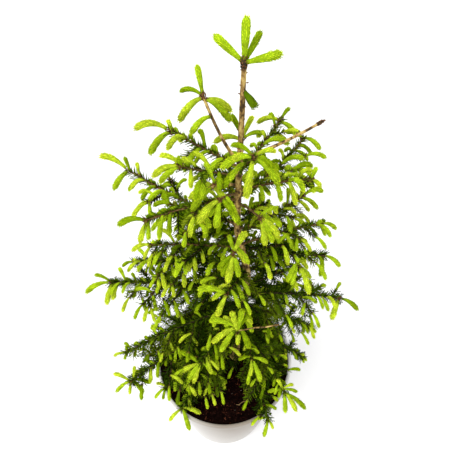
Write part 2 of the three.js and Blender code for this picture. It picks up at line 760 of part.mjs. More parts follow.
function makeSprig(clearTrunk) {
  const foot = trunkPoint(SPRIG.height);
  const direction = heading(SPRIG.azimuth, SPRIG.elevation);
  const growths = [];
  const end = beyond(foot, direction, SPRIG.stem - TIP_SHOOT_SINK);
  addShoot(growths, null, end, direction, SPRIG.length, 0, SPRIG.girth);
  const peg = makePeg(foot, direction, SPRIG.stem, SPRIG.radius).subtract(clearTrunk);
  return fuseGrowths('foliage_sprig', peg, growths);
}

// Wood claims its space before any leaf does
const CLAIM_STEPS = 10;

function claimWood(owner, pointAt, radiusAt, start, end) {
  for (let step = 0; step < CLAIM_STEPS; step += 1) {
    const first = mix(start, end, step / CLAIM_STEPS);
    const second = mix(start, end, (step + 1) / CLAIM_STEPS);
    claims.push({ owner, from: pointAt(first), to: pointAt(second), radius: radiusAt(first) });
  }
}

function claimLimb(bough) {
  const axis = limbAxis(bough);
  const start = (trunkRadius(bough.height) + LEAF_CLEAR) / limbLength(bough);
  const radiusAt = (share) => limbRadius(bough, share);
  claimWood(`foliage_${bough.name}`, (share) => axis.getPoint(share), radiusAt, start, 1);
}

// Finishes, as the photograph shows them
const potFinish = new THREE.MeshStandardMaterial({ color: 0xe1deda, roughness: 0.55, metalness: 0 });
const soilFinish = new THREE.MeshStandardMaterial({ color: 0x2a1a14, roughness: 1, metalness: 0 });
const barkFinish = new THREE.MeshStandardMaterial({ color: 0x9a6b3f, roughness: 0.9, metalness: 0 });
const freshFinish = new THREE.MeshStandardMaterial({ color: 0x86b51c, roughness: 0.7, metalness: 0 });

const spruce = new THREE.Group();

function addMesh(name, geometry, material) {
  const mesh = new THREE.Mesh(geometry, material);
  mesh.name = name;
  spruce.add(mesh);
}

claimWood('trunk', trunkPoint, trunkRadius, SOIL_TOP, TRUNK_TOP - LEADER_STUB);
BOUGHS.forEach(claimLimb);
const clearTrunk = makeTrunk(CLEAR);

addMesh('pot', makePot(), potFinish);
addMesh('soil', makeSoil(), soilFinish);
addMesh('trunk', largestBody(makeTrunk(0)), barkFinish);
addMesh('foliage_top', largestBody(makeLeader()), freshFinish);
addMesh('foliage_sprig', largestBody(makeSprig(clearTrunk)), freshFinish);
BOUGHS.forEach((bough, index) => {
  if (bough.own) {
    addMesh(`bough_${bough.name}`, largestBody(makeBough(bough, clearTrunk)), barkFinish);
  }
  const owner = `foliage_${bough.name}`;
  const mass = fuseGrowths(owner, makeStem(bough, clearTrunk), growLimb(bough, index + 1));
  addMesh(owner, largestBody(mass), freshFinish);
});

export default spruce;
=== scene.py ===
"""Looks of a young Norway spruce in a nursery pot: bark, twigs, needles, soil and pot."""
import math
from collections import namedtuple
from typing import NamedTuple

import bmesh
import bpy
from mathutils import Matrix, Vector, noise


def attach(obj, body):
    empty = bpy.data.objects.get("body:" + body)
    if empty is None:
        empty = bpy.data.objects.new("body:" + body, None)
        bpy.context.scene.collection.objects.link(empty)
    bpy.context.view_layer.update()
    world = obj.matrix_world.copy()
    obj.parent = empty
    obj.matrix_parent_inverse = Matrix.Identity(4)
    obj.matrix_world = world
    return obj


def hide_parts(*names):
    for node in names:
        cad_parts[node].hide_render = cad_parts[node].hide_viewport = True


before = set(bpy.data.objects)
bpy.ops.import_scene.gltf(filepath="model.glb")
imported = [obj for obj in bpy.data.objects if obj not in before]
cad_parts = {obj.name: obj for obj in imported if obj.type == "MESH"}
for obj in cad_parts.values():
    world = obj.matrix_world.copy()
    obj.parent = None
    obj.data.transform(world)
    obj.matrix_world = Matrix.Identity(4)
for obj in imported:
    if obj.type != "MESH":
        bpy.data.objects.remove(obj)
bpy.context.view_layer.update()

# Sizes are in millimetres, as in the part's source, and become metres where a mesh is made
MM = 0.001
UP = Vector((0, 0, 1))
ALONG_X = Vector((1, 0, 0))
GOLDEN_TURN = math.radians(137.5)

# Least level length of a direction that counts as leaning
NEARLY_UPRIGHT = 0.05

# Gap that the source leaves between two solids that touch on the real plant
CLEAR = 0.3

# Pot
POT_HEIGHT = 280
POT_FOOT_RADIUS = 113
POT_RIM_RADIUS = 156
POT_WALL = 3.5
POT_FLOOR = 4
POT_WALL_RINGS = (40, 90, 140, 190, 230)
POT_SIDES = 128
FOOT_FLAT_INSET = 5
FOOT_ROUND_INSET = 4
FOOT_ROUND = 4.5
COLLAR_HEIGHT = 24
COLLAR_STEP = 3
COLLAR_ROUND = 2
COLLAR_UNDERCUT = 0.2
LIP_ROUND = 2.6

# Growth that comes this near the pot ends there; a shoot is checked at this share and at its tip
POT_MARGIN = 5
POT_CHECK_SHARE = 0.6

# Painted shade on the pot, from none to full: up the wall, from side to front, and in from the right
# edge
POT_SHADE_HEIGHTS = (-260, 245)
POT_SHADE_DEPTHS = (-20, -150)
POT_SHADE_TO_RIGHT = 0.5
POT_SHADE_RIGHT_EDGE = (140, 90)
POT_SHADE_GRAIN = 14
POT_SHADE_UNEVEN = 50
POT_SHADE_COLOUR = (0.29, 0.245, 0.2)

# Soil, with the scale, height and noise layer of its lumps
SOIL_TOP = 275
SOIL_GAP = 0.4
SOIL_SINK = 1.5
SOIL_EDGE_DROP = 2.5
SOIL_EDGE_POWER = 4
SOIL_LUMPS = [(0.045, 2.2, 0), (0.16, 1.3, 9)]
SOIL_RINGS = 60
SOIL_SIDES = 120

# What lies on the soil
LITTER_MARGIN = 6
FACING_UP = 0.4
PATCH_RINGS = 8
PATCH_SIDES = 24
CRUMB_GRAIN = 3
CRUMB_UNEVEN = 0.35

# Moss: centre and radius of each patch, and how ragged its edge is
MOSS_PATCHES = [((112, 32), 24), ((96, 58), 17), ((128, 6), 12), ((-104, 40), 14)]
MOSS_RAGGED = 0.35
MOSS_EDGE_GRAIN = 1.5

# Straws: where each one starts and ends, then how it winds and how high it lies
STRAWS = [
    (40, -78, 84, -70), (-36, -84, -14, -96), (-70, -60, -50, -95),
    (20, -110, 52, -104), (60, -40, 100, -52)]
STRAW_STEPS = 10
STRAW_SWAYS = (6, 4)
STRAW_WAVES = (5, 4)
STRAW_LIFT = 2.5
STRAW_ARCH = 2
STRAW_RADIUS = 0.6
STRAW_SIDES = 5

# Trunk, with its offset along X at each bend's height
TRUNK_TOP = 936
TRUNK_FOOT_RADIUS = 7.2
TRUNK_TOP_RADIUS = 3
FLARE_RADIUS = 4
FLARE_HEIGHT = 14
TRUNK_BENDS = [(SOIL_TOP, 26), (400, 34), (570, 41), (712, 20), (TRUNK_TOP, 22)]
TRUNK_SINK = 3
TRUNK_RINGS = 330
TRUNK_RING_POWER = 1.1
TRUNK_SIDES = 28

# Relief of the bark as shares of the radius, and the swelling that it gives the trunk below its top
FLAKE_ACROSS = 0.35
FLAKE_ALONG = 0.06
FLAKE_SHARE = 0.1
KNOB_GRAIN = 0.6
KNOB_SHARE = 0.08
TRUNK_SWELL = 1.14
TRUNK_SWELL_FADE = (780, 860)

# Limbs, and the collar of bud scales at a limb's end
LIMB_RADIUS_LEAST = 2.5
LIMB_RADIUS_GAIN = 0.007
LIMB_TIP_RADIUS = 2.2
LIMB_RING_STEP = 4
LIMB_SIDES = 10
BARE_LIMB_SIDES = 12
LIMB_COLLAR_LENGTH = 8
LIMB_COLLAR_PROUD = 0.4
LIMB_COLLAR_REACH = 1.2

# Closed bud at a bough's end: place along the bough, radius, and reach and lean of its scales
CLOSED_BUD = [(-3, 1.4, 1, 1), (0, 2.4, 1, 0.7), (4, 2.2, 1, 0.4), (8, 0.5, 0.8, 0.2)]

# Side growth along a limb
STATION_SPACING = 20
STATION_MARGIN = 14
TWIG_ANGLE = 54
TWIG_SHARE = 0.52
TWIG_LEAST_REST = 48
TWIG_LONGEST = 85
TWIG_SHORTEST = 22
TWIG_LONG = 46
TWIG_SAG = 0.12
TWIG_RING_STEP = 8
TWIG_LEAST_RINGS = 3
TWIG_SIDES = 5

# Fresh shoots, as in the part's source
SHOOT_LENGTHS = (41, 48)
SHOOT_ARCH = 0.22
TIP_SHOOT_SINK = 1.4
TIP_STEP = 1.6
SPRAY_LEAST_SHARE = 0.42
LOW_SHOOT_SHARE = 0.7
TIP_DROOPS = (0.75, 0.45)
SIDE_SHOOT_ANGLE = 52
SIDE_SHOOT_DROOP = 0.9
SIDE_SHOOT_SHARE = 0.86
SIDE_SHOOT_SETBACKS = (3.5, 6.3)
UPRIGHT_SHARE = 0.36
UPRIGHT_SETBACK = 10.5
TWIG_SHOOT_SHARE = 0.88
MIDDLE_SHOOT_SHARE = 0.75
STATION_SHOOT_SHARE = 0.8

# Form of a fresh shoot: its girth, the swelling of its core, and its needles that close over its end
SHOOT_FULL_LENGTH = 38
SHOOT_GIRTHS = (0.74, 1.2)
SHOOT_BARE_FOOT = 0.08
SHOOT_RINGS = 8
SHOOT_END_RINGS = (0.93, 0.97, 1)
SHOOT_FOOT_SWELL = 0.45
SHOOT_SWELLS_TO = 0.6
SHOOT_DOME_FROM = 0.86
SHOOT_DOME_CLOSED = 0.98
SHOOT_CLOSES_FROM = 0.7
SHOOT_REACHES = (0.76, 0.34)
SHOOT_LEANS = (1, 1.3)
SHOOT_OVERHANG = 2.5
SHOOT_STEM_RADIUS = 0.8
SHOOT_CORE_RADIUS = 3.8
SHOOT_CORE_SIDES = 6
SHOOT_NEEDLE_SEAT = 0.6
SHOOT_COLLAR_SINK = 1
SHOOT_COLLAR_LENGTH = 3.4
SHOOT_COLLAR_PROUD = 0.7

# Dice, as in the part's source
DICE_FACTOR = 1664525
DICE_STEP = 1013904223
DICE_FACES = 2 ** 32

# How far the dice may move a size either way, as a share of it
ANGLE_SPREAD = 0.18
LENGTH_SPREAD = 0.15
DROOP_SPREAD = 0.4

# Leading shoots: length, azimuth, elevation and tint
LEADER_FOOT = 3.6
LEADER_SHOOTS = [
    (46, 0, 89, "lime"), (43, 162, 36, "lime"), (44, -22, 20, "lime"), (40, 54, 38, "grass")]

# Collar of bud scales under the leading shoots: height, radius, and reach and lean of its scales
LEADER_COLLAR = [(-8, 2.8, 1.2, 0.9), (-4, 3.8, 1.2, 0.9), (1, 3.8, 1.2, 0.9), (6, 2.2, 1.2, 0.9)]

# Small sprig that hangs on the trunk below the top
SPRIG_HEIGHT = 911
SPRIG_AZIMUTH = -35
SPRIG_ELEVATION = -42
SPRIG_STEM = 10
SPRIG_LENGTH = 16
SPRIG_GIRTH = 1.6

# Finer twigs, which only the looks have, and the small shoots on them or in their place
FINE_SPACING = 9.5
FINE_SPACING_TWIG = 14
FINE_SPACING_SHARES = (0.3, 0.6)
FINE_ANGLE = 56
FINE_SHARE = 0.55
FINE_SHORTEST = 10
FINE_LONGEST = 44
FINE_DROOP = 0.35
FINE_DROOP_SPREAD = 1.5
FINE_RINGS = 3
FINE_FRESH_CHANCES = (0.35, 0.85)
FINE_FRESH_SHARES = (0.2, 0.55)
FINE_SHOOT_LENGTH = 26
FINE_SHOOT_SPREAD = 0.3
FINE_SHOOT_DROOP = 0.4
FINE_SHOOT_DROOP_SPREAD = 0.8
SMALL_CHANCES = (0.25, 0.92)
SMALL_CHANCE_SHARES = (0.3, 0.7)
SMALL_CHANCE_OUT = 0.7
SMALL_OUT_SHARES = (0.4, 0.7)
SMALL_LENGTHS = (23, 34)
SMALL_LENGTH_SPREAD = 0.25
SMALL_DROOP = 0.5
SMALL_DROOP_SPREAD = 1.4
SMALL_ARCH = 0.3
FINE_SEED = 1000

# Short needled twigs on the trunk's sides and back between the boughs, which only the looks have
TRUNK_TWIGS_FROM = 480
TRUNK_TWIGS_TO = 760
TRUNK_TWIG_STEP = 12
TRUNK_TWIG_TURN = 83
TRUNK_TWIG_FIRST = -25
TRUNK_TWIG_ARC = 230
TRUNK_TWIG_LENGTH = 62
TRUNK_TWIG_LENGTH_SPREAD = 0.3
TRUNK_TWIG_LIFT = 14
TRUNK_TWIG_LIFT_SPREAD = 1
TRUNK_TWIG_RINGS = 6

# Bare dry twig beside the low front shoots, which only the looks have
DRY_TWIG = [(24, -92, 552), (48, -92, 561), (68, -91, 562), (88, -89, 566)]
DRY_TWIG_RADIUS = 1.1

# Knots of old bud scales on the trunk
KNOTS_FROM = 500
KNOT_STEP = 3.4
KNOT_SINK = 1.6
KNOT_LENGTH = 0.6
KNOT_RADIUS = 0.8
KNOT_LIFT = 35

# A bough whose bare share is above this has tan bark and no old needles
BALD_SHARE = 0.58

# Shorter limbs carry nothing but their shoots
SHORT_LIMB = 75

# Boughs above this height have brown bark, the ones below it dark bark
BROWN_FROM = 640

# Share of a limb's bare stretch that is still without old needles, low and high in the crown
NEEDLED_FROM = (0.15, 0.35)

# Wood without its needles: share of the source's radius on limbs, and radii of twigs from foot to tip
WOOD_SHARE = 0.6
BALD_WOOD_SHARE = 0.8
TWIG_RADII = (1.5, 1.0)
FINE_RADII = (0.9, 0.6)
TRUNK_TWIG_RADII = (1.5, 0.6)

# Needles and bud scales along their twigs; their lean is in degrees
Needle = namedtuple("Needle", "gap length spread width lean comb")
FRESH_NEEDLE = Needle(gap=0.26, length=7.8, spread=0.1, width=1.3, lean=27, comb=0.0)
OLD_NEEDLE = Needle(gap=0.7, length=10.5, spread=0.25, width=2, lean=57, comb=0.1)
BUD_SCALE = Needle(gap=0.5, length=3.4, spread=0.3, width=2.2, lean=26, comb=0.0)
NEEDLE_JITTER = 0.5
NEEDLE_LEANS = (0.8, 1.2)
NEEDLE_SEAT = 0.8
OLD_NEEDLE_SEED = 10
BUD_SCALE_SEED = 30

# Reach of the old needles low and high in the crown, as a share of their length
OLD_REACHES = (1.05, 0.8)

# Tints of the needles, the darker colour of a fresh shoot's core as painted shade between its needles,
# and shades at two stops of a needle's grain
FRESH_COLOURS = {
    "yellow": (0.9, 1, 0.05),
    "lime": (0.7, 0.88, 0.025),
    "grass": (0.45, 0.6, 0.01),
    "deep": (0.21, 0.31, 0.006),
}
OLD_COLOURS = {
    "dark": (0.024, 0.052, 0.002),
    "green": (0.1, 0.175, 0.006),
    "olive": (0.16, 0.23, 0.008),
}
FRESH_TINTS = tuple(FRESH_COLOURS)
OLD_TINTS = tuple(OLD_COLOURS)
CORE_SHADE = (0.4, 0.48, 0.4)
NEEDLE_GRAIN = 110
NEEDLE_SHADES = [(0.36, 0.75), (0.64, 1.25)]

# Shares of the fresh tints in the light and in the shade, which is low down and near the trunk
LIT_SHARES = (0.34, 0.42, 0.2, 0.04)
SMALL_SHARES = (0.32, 0.43, 0.2, 0.05)
SHADED_SHARES = (0.18, 0.4, 0.3, 0.12)
SMALL_SHOOT = 34
SHADE_HEIGHTS = (400, 600)
SHADE_REACHES = (110, 190)

# Shares of the old tints low and high in the crown, darker low down as painted shade, and the tints of
# shoots placed one by one, in turn
OLD_SHARES_LOW = (0.66, 0.2, 0.14)
OLD_SHARES_HIGH = (0.15, 0.4, 0.45)
TIP_TINTS = ("yellow", "lime", "grass", "yellow", "lime")

# Shaded relief of a finish
RELIEF_DETAIL = 5.0
RELIEF_STRENGTH = 0.6

# Camera, light and floor; the floor is in metres
EYE = (2, -388, 1083)
PITCH = 44.5
FOCAL_SHARE = 0.8
SENSOR = 36
KEY_FROM = (-0.3, -0.45, 1.0)
KEY_STRENGTH = 2.5
KEY_SOFTNESS = 45
SKY_STRENGTH = 0.68
FLOOR_HALF = 12
FLOOR_GREY = 0.92


# Boughs, as in the part's source

class Bough(NamedTuple):
    """A limb's place and form on the trunk, and what grows at its end."""
    name: str
    height: float  # of its foot on the trunk
    azimuth: float
    reach: float  # level, from foot to tip
    rise: float  # of its tip over its foot
    bow: float  # of its middle over a straight line
    bare: float  # share of its length before the first twig
    own: bool = False  # whether its bare wood is a solid of its own
    bud: bool = False  # whether it ends in a closed bud
    vigour: float = 1  # share of the usual shoot length
    spread: float = 1  # share of the usual twig length
    tips: tuple = ()  # shoots placed one by one at its tip: length, azimuth and elevation


BOUGHS = [
    Bough("top_left_back", 813, 150, 53, 81, -10, 0.62, True,
          tips=((36, 150, 80), (30, 170, 5), (48, 180, -45), (48, 5, -45), (40, 10, -30))),
    Bough("top_right_back", 803, 46, 82, 41, -6, 0.4, True, vigour=0.65,
          tips=((20, 35, 40), (36, 155, -20), (36, 0, -40))),
    Bough("top_left", 807, 168, 91, 43, 0, 0.4, True,
          tips=((50, 170, -5), (47, 190, -45), (18, 168, 75))),
    Bough("top_right", 820, 12, 99, 38, -4, 0.62, bud=True, vigour=0.6),
    Bough("top_front_left", 793, 205, 81, 39, 0, 0.45,
          tips=((40, 180, -25), (36, 195, -35), (18, 205, 75), (32, 170, 25))),
    Bough("top_front", 796, -75, 54, 62, 3, 0.55,
          tips=((45, 170, -30), (30, 155, 15), (54, 240, -75), (47, -10, -45), (28, 10, 10))),
    Bough("top_back", 788, 84, 55, 32, 0, 0.35,
          tips=((38, 170, 62), (36, 10, 68), (32, 15, 5), (42, 175, -10))),
    Bough("high_front_left", 776, 226, 50, 27, 4, 0.6,
          tips=((45, -15, -55), (48, 195, -50), (42, 180, -35), (32, 125, 40))),
    Bough("high_right", 768, -14, 95, 37, 4, 0.35, vigour=1.1,
          tips=((20, 0, 80), (20, -10, -35), (22, -30, -60))),
    Bough("high_front", 760, 245, 60, 38, 4, 0.5,
          tips=((46, 195, -50), (40, 250, -65), (44, -30, -50))),
    Bough("high_right_back", 759, 42, 136, 38, -14, 0.35, True, vigour=0.7,
          tips=((36, -5, -35), (28, 155, 5))),
    Bough("high_left_front", 753, 208, 134, 17, 6, 0.35, True, vigour=0.8, spread=0.7,
          tips=((40, 180, -15), (36, 225, -60), (30, 255, -70))),
    Bough("high_front_right", 745, -60, 59, 16, 4, 0.4,
          tips=((40, -65, -65), (40, -40, -55), (42, -20, -45), (28, 20, 15))),
    Bough("high_back", 722, 96, 112, 12, 4, 0.25),
    Bough("high_left", 702, 165, 166, 70, -6, 0.35, True, vigour=0.8,
          tips=((45, 170, 25), (42, 200, -45), (26, 165, 80))),
    Bough("mid_right_back", 692, 32, 130, 10, -8, 0.3),
    Bough("mid_front", 680, 260, 54, 12, 6, 0.4,
          tips=((34, 200, -45), (48, 250, -60), (40, -65, -60), (46, -5, 70), (32, 160, 75),
                (48, 225, -60), (30, -25, -50))),
    Bough("mid_right", 658, 8, 130, 29, 4, 0.3, True, vigour=0.7),
    Bough("mid_left_high", 650, 182, 145, 12, 4, 0.3, vigour=0.7),
    Bough("mid_left_back", 645, 138, 140, 10, 6, 0.25, vigour=0.75),
    Bough("mid_right_front", 625, -10, 125, 31, 6, 0.35, True,
          tips=((34, -20, -30), (38, 270, -65))),
    Bough("mid_back", 622, 100, 150, 4, 8, 0.3, True),
    Bough("mid_left", 601, 174, 200, -12, 10, 0.35, True, vigour=0.65),
    Bough("mid_front_left", 593, 245, 84, 36, 4, 0.45,
          tips=((46, 170, 0), (43, 230, -55), (24, 190, -20))),
    Bough("low_front", 540, -101, 96, 8, 8, 0.5,
          tips=((46, 130, 70), (46, 65, 70), (34, 50, 15), (32, 140, 10), (50, 165, 0),
                (56, 195, -35), (56, 220, -45), (45, -55, -45), (36, 265, -50))),
    Bough("low_left", 528, 183, 238, 46, 8, 0.4, True,
          tips=((50, 195, -20), (32, 165, 20), (46, 240, -55), (32, 270, -60))),
    Bough("low_right", 522, -10, 167, 28, 8, 0.35, True,
          tips=((40, -25, -25), (46, 245, -60))),
    Bough("low_right_back", 513, 56, 170, -8, 10, 0.3),
    Bough("low_left_back", 503, 126, 180, 6, 10, 0.3),
    Bough("bottom_left", 484, 196, 237, -65, 14, 0.35, True, vigour=0.7, spread=0.8,
          tips=((26, 190, -15), (16, 250, -45), (14, 100, 55))),
    Bough("bottom_right", 468, -2, 146, -61, 14, 0.35, vigour=0.6, spread=0.6),
    Bough("bottom_front_left", 464, 230, 126, -28, 12, 0.45,
          tips=((44, 150, 5), (48, 195, -30), (58, 225, -40), (45, 240, -45), (34, -35, -45))),
    Bough("bottom_left_front", 445, 208, 240, -44, 14, 0.4, True, spread=1.3,
          tips=((35, 160, 10), (36, 210, -25), (28, 260, -45), (38, -35, -50), (40, 5, -40),
                (30, 70, 65))),
    Bough("bottom_front", 445, -78, 85, -18, 10, 0.5,
          tips=((48, -60, -45), (34, -95, -45), (34, -10, -20), (26, 190, -10))),
    Bough("bottom_left_back", 426, 140, 200, -50, 16, 0.3),
    Bough("bottom_right_back", 418, 48, 188, -46, 16, 0.3),
    Bough("foot_front_right", 410, -53, 143, -62, 16, 0.4,
          tips=((54, -30, -25), (46, -50, -35), (44, -85, -45), (32, 140, 55), (34, 175, -30),
                (30, -10, -5), (24, 15, 10))),
    Bough("foot_front_left", 394, 226, 174, -100, 30, 0.4,
          tips=((38, 215, -30), (50, -65, -40), (40, -15, -10))),
    Bough("foot_front", 388, -69, 156, -96, 20, 0.45,
          tips=((38, 250, -45), (24, -55, -40), (22, 180, -15))),
    Bough("foot_right", 370, -9, 145, -55, 12, 0.4, vigour=0.6, spread=0.6),
    Bough("foot_left", 404, 214, 184, -59, 16, 0.4, vigour=0.8,
          tips=((32, 215, -35), (28, 250, -50), (22, 165, 5))),
]


# Dice and directions

def make_dice(seed):
    """Seeded dice, which roll as the source's do."""
    state = seed

    def roll():
        nonlocal state
        state = (state * DICE_FACTOR + DICE_STEP) % DICE_FACES
        return state / DICE_FACES
    return roll


def vary(dice, size, spread):
    return size * (1 + spread * (2 * dice() - 1))


def mix(low, high, share):
    return low + (high - low) * share


def clamp(value, low, high):
    return max(low, min(high, value))


def smoothstep(value, low, high):
    share = clamp((value - low) / (high - low), 0, 1)
    return share * share * (3 - 2 * share)


def heading(azimuth, elevation):
    level = math.cos(math.radians(elevation))
    turn = math.radians(azimuth)
    return Vector((level * math.cos(turn), level * math.sin(turn), math.sin(math.radians(elevation))))


def side_of(direction):
    side = UP.cross(direction)
    return side.normalized() if side.length > NEARLY_UPRIGHT else ALONG_X.copy()


def turned(along, angle, droop):
    swing = math.radians(angle)
    return (along * math.cos(swing) + side_of(along) * math.sin(swing) - UP * droop).normalized()


# Trunk and limbs

def trunk_point(height):
    bend = 1
    while bend < len(TRUNK_BENDS) - 1 and height > TRUNK_BENDS[bend][0]:
        bend += 1
    low_height, low_offset = TRUNK_BENDS[bend - 1]
    high_height, high_offset = TRUNK_BENDS[bend]
    share = smoothstep(height, low_height, high_height)
    return Vector((mix(low_offset, high_offset, share), 0, height))


def crown_share(height):
    return (height - SOIL_TOP) / (TRUNK_TOP - SOIL_TOP)


def trunk_radius(height):
    flare = FLARE_RADIUS * math.exp(-(height - SOIL_TOP) / FLARE_HEIGHT)
    return mix(TRUNK_FOOT_RADIUS, TRUNK_TOP_RADIUS, crown_share(height)) + flare


def limb_corners(bough):
    """Foot, control point and tip of a limb's curved axis."""
    foot = trunk_point(bough.height)
    tip = foot + heading(bough.azimuth, 0) * bough.reach + UP * bough.rise
    return foot, (foot + tip) / 2 + UP * 2 * bough.bow, tip


def bend_point(corners, share):
    a, b, c = corners
    return a * (1 - share) ** 2 + b * 2 * share * (1 - share) + c * share ** 2


def bend_along(corners, share):
    a, b, c = corners
    return ((b - a) * (1 - share) + (c - b) * share).normalized()


def limb_length(bough):
    return math.hypot(bough.reach, bough.rise)


def limb_radius(bough, share):
    return mix(LIMB_RADIUS_LEAST + LIMB_RADIUS_GAIN * limb_length(bough), LIMB_TIP_RADIUS, share)


def bark_of(bough):
    """Which bark a bough has: bare and tan, brown high in the crown, or dark."""
    if bough.bare > BALD_SHARE:
        return "bare_boughs"
    return "brown_boughs" if bough.height > BROWN_FROM else "dark_boughs"


# What the crown is made of: runs of wood and needles, each with its sizes from point to point
Run = namedtuple("Run", "points wood reach lean")
crown = {
    "dark_boughs": [],
    "brown_boughs": [],
    "bare_boughs": [],
    "twigs": [],
    "collars": [],
    "cores": {tint: [] for tint in FRESH_TINTS},
    "fresh": {tint: [] for tint in FRESH_TINTS},
    "old": {tint: [] for tint in OLD_TINTS},
}


def wood_run(points, radii, reach=1):
    """Run with a radius at each point and one reach for the needles on it."""
    return Run(points, radii, [reach] * len(points), [1] * len(points))


def even_run(points, radius, reach=1):
    return wood_run(points, [radius] * len(points), reach)


def bud_run(foot, along, stations):
    """Run of bud scales with an offset along it, radius, reach and lean for each station."""
    offsets, radii, reach, lean = zip(*stations)
    return Run([foot + along * offset for offset in offsets], radii, reach, lean)


def deal(dice, tints, shares):
    """One of the tints, each with its share of the sprays."""
    roll = dice()
    for tint, share in zip(tints, shares):
        roll -= share
        if roll < 0:
            return tint
    return tints[-1]


def meets_pot(point):
    beside = math.hypot(point.x, point.y) < POT_RIM_RADIUS + POT_MARGIN
    return beside and point.z < POT_HEIGHT + POT_MARGIN


def clear_of_pot(points):
    """How many points come before the first that meets the pot."""
    for count, point in enumerate(points):
        if meets_pot(point):
            return count
    return len(points)


def add_shoot(dice, foot, direction, length, bend=SHOOT_ARCH, tint=None, girth=1):
    """Fresh shoot on a collar of bud scales: an arched core in soft needles that close over its end."""
    tip = foot + direction * length
    arch = bend * length * math.hypot(direction.x, direction.y)
    corners = (foot, (foot + tip) / 2 + UP * 2 * arch, tip)
    if meets_pot(bend_point(corners, POT_CHECK_SHARE)) or meets_pot(tip):
        return
    girth *= clamp(length / SHOOT_FULL_LENGTH, *SHOOT_GIRTHS)
    end = 1 - girth * SHOOT_OVERHANG / length
    points = []
    core = []
    reach = []
    lean = []
    for share in [ring / SHOOT_RINGS for ring in range(SHOOT_RINGS)] + [*SHOOT_END_RINGS]:
        swell = mix(SHOOT_FOOT_SWELL, 1, smoothstep(share, 0, SHOOT_SWELLS_TO))
        close = smoothstep(share, SHOOT_CLOSES_FROM, 1)
        dome = clamp((share - SHOOT_DOME_FROM) / (1 - SHOOT_DOME_FROM), 0, SHOOT_DOME_CLOSED)
        points.append(bend_point(corners, mix(SHOOT_BARE_FOOT, end, share)))
        core.append(mix(SHOOT_STEM_RADIUS, girth * SHOOT_CORE_RADIUS, swell) * math.sqrt(1 - dome ** 2))
        reach.append(girth * swell * mix(*SHOOT_REACHES, close))
        lean.append(mix(*SHOOT_LEANS, close))
    tint = tint or deal(dice, FRESH_TINTS, fresh_shares(foot, length))
    seat = [SHOOT_NEEDLE_SEAT * radius for radius in core]
    crown["fresh"][tint].append(Run(points, seat, reach, lean))
    crown["cores"][tint].append(Run(points, core, reach, lean))
    along = bend_along(corners, 0)
    collar = [foot - along * SHOOT_COLLAR_SINK, foot + along * SHOOT_COLLAR_LENGTH]
    crown["collars"].append(even_run(collar, SHOOT_STEM_RADIUS + SHOOT_COLLAR_PROUD))


def fresh_shares(foot, length):
    """Shares of the fresh tints for a shoot of some length at a place in the crown."""
    spread = math.hypot(foot.x, foot.y)
    shade = (1 - smoothstep(foot.z, *SHADE_HEIGHTS)) * (1 - smoothstep(spread, *SHADE_REACHES))
    in_light = SMALL_SHARES if length < SMALL_SHOOT else LIT_SHARES
    return [mix(lit, shaded, shade) for lit, shaded in zip(in_light, SHADED_SHARES)]


def old_reach(height_share):
    """Old needles are shorter higher in the crown."""
    return mix(*OLD_REACHES, height_share)


def add_needled(dice, points, radii, height_share):
    """Twig with old needles."""
    if len(points) < 2:
        return
    run = wood_run(points, radii, old_reach(height_share))
    crown["twigs"].append(run)
    # Old tints run darker low in the crown: painted shade
    shares = [mix(low, high, height_share) for low, high in zip(OLD_SHARES_LOW, OLD_SHARES_HIGH)]
    crown["old"][deal(dice, OLD_TINTS, shares)].append(run)


# Growth by the source's rule, and the finer growth that only the looks have

def grow_tip_shoots(dice, looks, tip, along, length, droop, on_limb):
    hang = vary(dice, droop, DROOP_SPREAD)
    straight = vary(dice, length, LENGTH_SPREAD)
    add_shoot(looks, tip - along * TIP_SHOOT_SINK, turned(along, 0, hang), straight)
    for hand, setback in zip((1, -1), SIDE_SHOOT_SETBACKS):
        angle = vary(dice, hand * SIDE_SHOOT_ANGLE, ANGLE_SPREAD)
        fall = vary(dice, SIDE_SHOOT_DROOP, DROOP_SPREAD)
        reach = vary(dice, length * SIDE_SHOOT_SHARE, LENGTH_SPREAD)
        add_shoot(looks, tip - along * setback, turned(along, angle, fall), reach)
    lift = vary(dice, 1, DROOP_SPREAD)
    if on_limb:
        add_shoot(looks, tip - along * UPRIGHT_SETBACK, turned(along, 0, -lift), length * UPRIGHT_SHARE)


def grow_fine(looks, foot, along, hand, rest, height_share, out_share=0):
    """Small fresh shoot, or a finer twig with old needles that may end in one."""
    angle = vary(looks, hand * FINE_ANGLE, ANGLE_SPREAD)
    high_chance = mix(*SMALL_CHANCES, smoothstep(height_share, *SMALL_CHANCE_SHARES))
    out_chance = SMALL_CHANCE_OUT * smoothstep(out_share, *SMALL_OUT_SHARES)
    if looks() < max(high_chance, out_chance):
        size = vary(looks, mix(*SMALL_LENGTHS, height_share), SMALL_LENGTH_SPREAD)
        fall = vary(looks, SMALL_DROOP, SMALL_DROOP_SPREAD)
        add_shoot(looks, foot, turned(along, angle, fall), size, SMALL_ARCH)
        return
    direction = turned(along, angle, vary(looks, FINE_DROOP, FINE_DROOP_SPREAD))
    length = vary(looks, clamp(FINE_SHARE * rest, FINE_SHORTEST, FINE_LONGEST), LENGTH_SPREAD)
    rings = range(FINE_RINGS + 1)
    points = [foot + direction * length * ring / FINE_RINGS for ring in rings]
    if any(meets_pot(point) for point in points):
        return
    radii = [mix(*FINE_RADII, ring / FINE_RINGS) for ring in rings]
    add_needled(looks, points, radii, height_share)
    if looks() < mix(*FINE_FRESH_CHANCES, smoothstep(height_share, *FINE_FRESH_SHARES)):
        fall = vary(looks, FINE_SHOOT_DROOP, FINE_SHOOT_DROOP_SPREAD)
        size = vary(looks, FINE_SHOOT_LENGTH, FINE_SHOOT_SPREAD)
        add_shoot(looks, points[-1], turned(direction, 0, fall), size)


